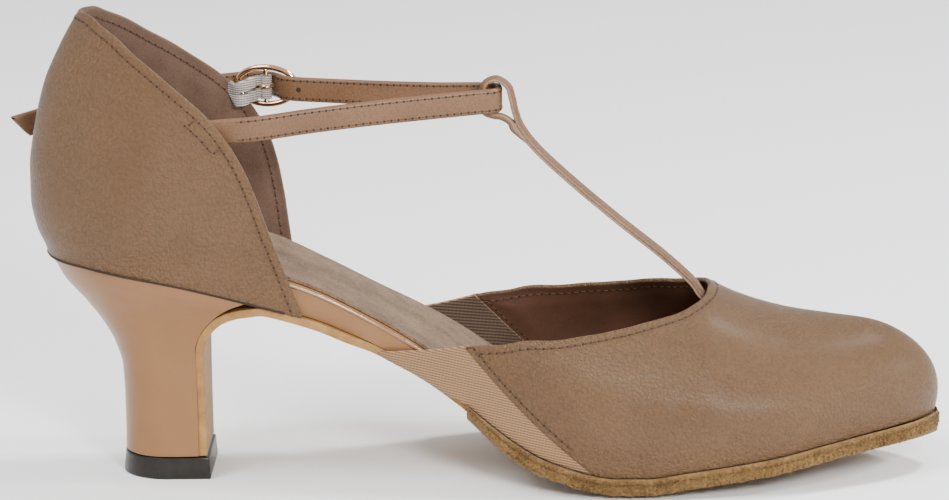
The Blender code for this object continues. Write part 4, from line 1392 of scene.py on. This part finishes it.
def ankle_strap_points():
    depth = FIT_GAP + 0.5 * STRAP_THICK + WALL_LEAN
    start = [inside_quarter(MEDIAL, x, z, depth) for x, z in STRAP_START]
    tail = [outside_quarter(LATERAL, x, z, depth + 0.2) for x, z in ((5.0, 98.4), (-3.0, 97.6))]
    return [*start, *ANKLE_STRAP_FREE, *tail, *STRAP_END]


def directions(path, i, upright=(0.0, 0.0, 1.0)):
    """Unit directions at a place on a path: along it, across it towards upright, and outwards."""
    run = run_at(path, i)
    run = run / np.linalg.norm(run)
    across = np.array(upright, float)
    across = across - run * across.dot(run)
    across /= np.linalg.norm(across)
    return run, across, np.cross(run, across)


def band_rings(path, upright, wide, thick, tip=0.0, skive=0.0):
    """Sections of a flat strap with rounded edges; its end can be cut at a slant or pared thin."""
    rings = []
    rows = [[], [], [], []]
    reach = reach_along(path)
    for i, place in enumerate(path):
        _, across, out = directions(path, i, upright)
        rest = reach[-1] - reach[i]
        low, high, half = -0.5 * wide, 0.5 * wide, 0.5 * thick
        if rest < tip:
            low += (tip - rest) / tip * 0.86 * wide
        if rest < skive:
            half *= between(0.3, 1.0, rest / skive)
            place = place + out * (0.5 * thick - half)
        turn = 0.84 * half
        ring = []
        corners = ((low, -half, 180), (high, -half, 270), (high, half, 0), (low, half, 90))
        for corner_y, corner_z, start in corners:
            centre_y = corner_y + math.copysign(turn, 0.5 * (low + high) - corner_y)
            centre_z = corner_z - math.copysign(turn, corner_z)
            for k in range(4):
                angle = math.radians(start + 30.0 * k)
                y = centre_y + turn * math.cos(angle)
                z = centre_z + turn * math.sin(angle)
                ring.append(tuple(place + across * y + out * z))
        rings.append(ring)
        for row, (edge_y, face) in zip(rows, ((high, 1), (low, 1), (high, -1), (low, -1))):
            y = edge_y - math.copysign(STRAP_ROW, edge_y)
            spot = Vector(place + across * y + out * (face * half)) * MM
            row.append((spot, Vector(out * face)))
    return rings, rows


strap_leather = leather("strap_leather", STRAP_DARK, STRAP_LIGHT, 0.42, 0.6, 0.05, coat=0.05)
ankle_path = smooth_path(ankle_strap_points(), 10)
ankle_rings, ankle_rows = band_rings(ankle_path, (0, 0, 1), STRAP_WIDE, STRAP_THICK, tip=3.4)
ankle_mesh = solid_between(ankle_rings)
piece(ankle_mesh, "ankle_strap_leather", strap_leather, "strap_leather", "ankle_strap")
# Prong holes: discs of painted shade on both faces of the strap, which is not cut through.
hole_shades = bmesh.new()
for spot in STRAP_HOLES:
    i = int(np.argmin([np.linalg.norm(place - np.array(spot)) for place in ankle_path]))
    run, across, out = (Vector(way) for way in directions(ankle_path, i))
    for face in (1.0, -1.0):
        centre = Vector(ankle_path[i]) + out * face * (0.5 * STRAP_THICK + 0.02)
        spokes = [run * math.cos(t) * face + across * math.sin(t) for t in circle(14)]
        rim = [(centre + spoke * 0.5 * HOLE_WIDE) * MM for spoke in spokes]
        hole_shades.faces.new([hole_shades.verts.new(corner) for corner in rim])
piece(hole_shades, "ankle_strap_hole_shades", painted_shade, "strap_leather")
ankle_lines = [row[25:-22] for row in ankle_rows]
stitches("ankle_strap_stitches", ankle_lines, "strap_leather", 1.9, 1.3, 0.16, -0.02)

# T strap: a narrow strap sewn under the throat. It rises over the instep and folds over the ankle
# strap into a loop, where its end is sewn back onto it. Its backing is a lighter split leather.
BACKING_DARK = (0.20, 0.118, 0.070)
BACKING_LIGHT = (0.29, 0.180, 0.115)
T_STRAP_WIDE = 6.3
T_STRAP_THICK = 1.8
T_STRAP_ROLL = (0.0, 1.0, -0.19)
T_STRAP_POINTS = (
    (154.5, 41.6), (151.0, 42.8), (147.9, 44.4), (145.3, 47.1), (142.5, 50.9), (135.0, 57.9),
    (124.0, 67.0), (112.0, 77.6), (102.5, 86.8), (97.9, 92.8), (96.2, 97.0), (95.4, 100.7),
    (94.3, 104.2), (91.3, 106.3), (88.3, 105.2), (87.3, 102.0), (87.2, 99.3), (88.0, 97.3),
    (90.0, 96.4), (92.5, 95.9), (94.6, 94.6), (95.5, 92.8), (96.9, 90.7), (98.4, 88.7),
)

instep_points = [(x, mid(x) * ease(x, 100.0, 148.0), z) for x, z in T_STRAP_POINTS]
instep_path = smooth_path(instep_points, 10)
instep_rings, instep_rows = band_rings(
    instep_path, T_STRAP_ROLL, T_STRAP_WIDE, T_STRAP_THICK, skive=5.0
)
instep_mesh = solid_between(instep_rings)
instep = piece(instep_mesh, "t_strap_leather", strap_leather, "strap_leather", "t_strap")
split_leather = leather(
    "strap_backing", BACKING_DARK, BACKING_LIGHT, 0.55, 0.6, 0.03, cloud=120.0
)
instep.data.materials.append(split_leather)
for face in instep.data.polygons:
    if all(8 <= v % 16 for v in face.vertices) and len(face.vertices) == 4:
        face.material_index = 1
instep_lines = [row[30:118] for row in instep_rows]
stitches("t_strap_stitches", instep_lines, "strap_leather", 1.9, 1.3, 0.13, -0.05)
backing_path = []
for i in range(26, 96):
    run = run_at(instep_path, i)
    under = np.cross(run / np.linalg.norm(run), (0.0, 1.0, 0.0))
    backing_path.append(instep_path[i] + under * (0.5 * T_STRAP_THICK + 0.3))
backing_rings, _ = band_rings(backing_path, T_STRAP_ROLL, T_STRAP_WIDE - 0.3, 0.7)
piece(solid_between(backing_rings), "t_strap_backing", split_leather, "strap_leather")

# Buckle: an oval ring with a bar across it, cast in one and plated rose gold, with a wire prong
# that curls round the bar.
GOLD = (0.83, 0.52, 0.30)
BUCKLE_AT = (28.1, 25.3, 100.0)
BUCKLE_TURN = math.radians(-11.6)
BUCKLE_LONG = 8.4
BUCKLE_TALL = 5.1
BUCKLE_WIRE = 0.8
BAR_WIRE = 0.7
PRONG_WIRE = 0.55
BAR_SET = -0.5


def buckle_place(along_ring, out, up):
    """Place in the buckle's own directions, turned into the shoe's."""
    x, y, z = BUCKLE_AT
    turn = BUCKLE_TURN
    return (
        x + along_ring * math.cos(turn) - out * math.sin(turn),
        y + along_ring * math.sin(turn) + out * math.cos(turn),
        z + up,
    )


def prong_points():
    """Curl round the bar, then straight through the strap to rest on the ring."""
    radius = BAR_WIRE + 0.25 + PRONG_WIRE
    points = []
    for i in range(8):
        angle = math.radians(-30.0 - 240.0 * i / 7)
        points.append((radius * math.cos(angle), BAR_SET + radius * math.sin(angle)))
    points += [(3.4, 1.15), (6.0, 1.5), (BUCKLE_LONG + 0.6, 1.55)]
    return [buckle_place(x, out, 0.0) for x, out in points]


def plated(name, colour):
    """Polished plate with faint hazy patches."""
    material, tree, sockets = new_material(name, Metallic=1.0)
    haze = node(tree, "TexNoise", Scale=700.0, Detail=3.0)
    tree.links.new(node(tree, "TexCoord").outputs["Object"], haze.inputs["Vector"])
    darker = tuple(0.8 * c for c in colour)
    plate = tinted(tree, haze.outputs["Fac"], darker, colour, 0.3, 0.7)
    tree.links.new(plate, sockets["Base Color"])
    roughened(tree, haze.outputs["Fac"], 0.08, 0.18, sockets)
    return material


def ring_tube(rail, radius, sides=12):
    """Closed round wire along a closed rail."""
    mesh = bmesh.new()
    made = add_points(mesh, tube(rail + rail[:2], radius, sides)[1:-1])
    for low, high in zip(made, made[1:] + made[:1]):
        fill_strip(mesh, low, high)
    bmesh.ops.recalc_face_normals(mesh, faces=mesh.faces)
    return mesh


rose_gold = plated("buckle_metal", GOLD)
oval = []
for angle in circle(72):
    over, up = BUCKLE_LONG * math.cos(angle), math.sin(angle)
    oval.append(buckle_place(over, BAR_SET * up ** 2, BUCKLE_TALL * up))
piece(ring_tube(oval, BUCKLE_WIRE), "buckle_oval", rose_gold, "buckle_metal", "buckle_ring")
bar_half = BUCKLE_TALL - 0.1
bar_rail = [buckle_place(0.0, BAR_SET, up) for up in stations(-bar_half, bar_half, 13)]
piece(solid_between(tube(bar_rail, BAR_WIRE, 12)), "buckle_bar", rose_gold, "buckle_metal")
prong_mesh = solid_between(tube(smooth_path(prong_points(), 5), PRONG_WIRE, 10))
piece(prong_mesh, "buckle_tongue", rose_gold, "buckle_metal", "buckle_prong")

# Buckle elastic: a short doubled web of pale ribbed elastic from inside the outer quarter round the
# bar, with a slit for the prong.
# Keeper colours: the darker is painted shade in the rib valleys, the lighter painted light on the
# rib tops.
KEEPER_SHADED = (0.085, 0.070, 0.060)
KEEPER_LIT = (0.44, 0.385, 0.35)
WEB_THICK = 0.65
SLIT_TALL = 0.8
SLIT_LONG = 6.0
ELASTIC_WIDE = 6.4
ELASTIC_THICK = 1.5
WEB_SLANT = 2.3
WEB_DROP = -0.3
WRAP_RADIUS = 1.2
# Where the web leaves the lining: place, height and depth inside it
WEB_START = ((18.4, 98.304, -0.9), (21.2, 98.472, 1.5))

web_points = [inside_quarter(LATERAL, x, z, depth) for x, z, depth in WEB_START]
web_path = smooth_path([*web_points, buckle_place(-2.4, -1.2, WEB_DROP)], 10)
reach = reach_along(web_path)
wrap = []
for i in range(26):
    angle = math.radians(200 - 14 * i)
    over, out = WRAP_RADIUS * math.cos(angle), BAR_SET + WRAP_RADIUS * math.sin(angle)
    wrap.append(np.array(buckle_place(over, out, WEB_DROP)))
keeper = elastic_material("keeper_elastic", KEEPER_SHADED, KEEPER_LIT, 0.62, 0.1)
web = bmesh.new()
half_wide, half_slit = 0.5 * ELASTIC_WIDE, 0.5 * SLIT_TALL
strip = web_path + wrap
for low, high in ((-half_wide, -half_slit), (half_slit, half_wide)):
    rings = []
    for i, place in enumerate(strip):
        run, across, out = directions(strip, i)
        closed = i < len(web_path) and reach[-1] - reach[i] > SLIT_LONG
        inner = 0.0 if closed else half_slit
        a, b = (low, -inner) if low < 0.0 else (inner, high)
        thick = 0.5 * (ELASTIC_THICK if i < len(web_path) - 2 else WEB_THICK)
        edge = (a, 0.5 * (a + b), b)
        corners = [(y, -thick) for y in edge] + [(y, thick) for y in edge[::-1]]
        slant = WEB_SLANT * (1.0 - ease(i, 0, len(web_path) - 4)) / half_wide
        rings.append([tuple(place + across * y + out * z - run * slant * y) for y, z in corners])
    web_half = solid_between(rings)
    spare = bpy.data.meshes.new("web_half")
    web_half.to_mesh(spare)
    web_half.free()
    web.from_mesh(spare)
    bpy.data.meshes.remove(spare)
keeper_web = piece(web, "buckle_web", keeper, "keeper_elastic", "buckle_elastic")
lay_flat(keeper_web, lambda co: (co.x, co.z))
soften(keeper_web, 0.15, 2, 50.0)
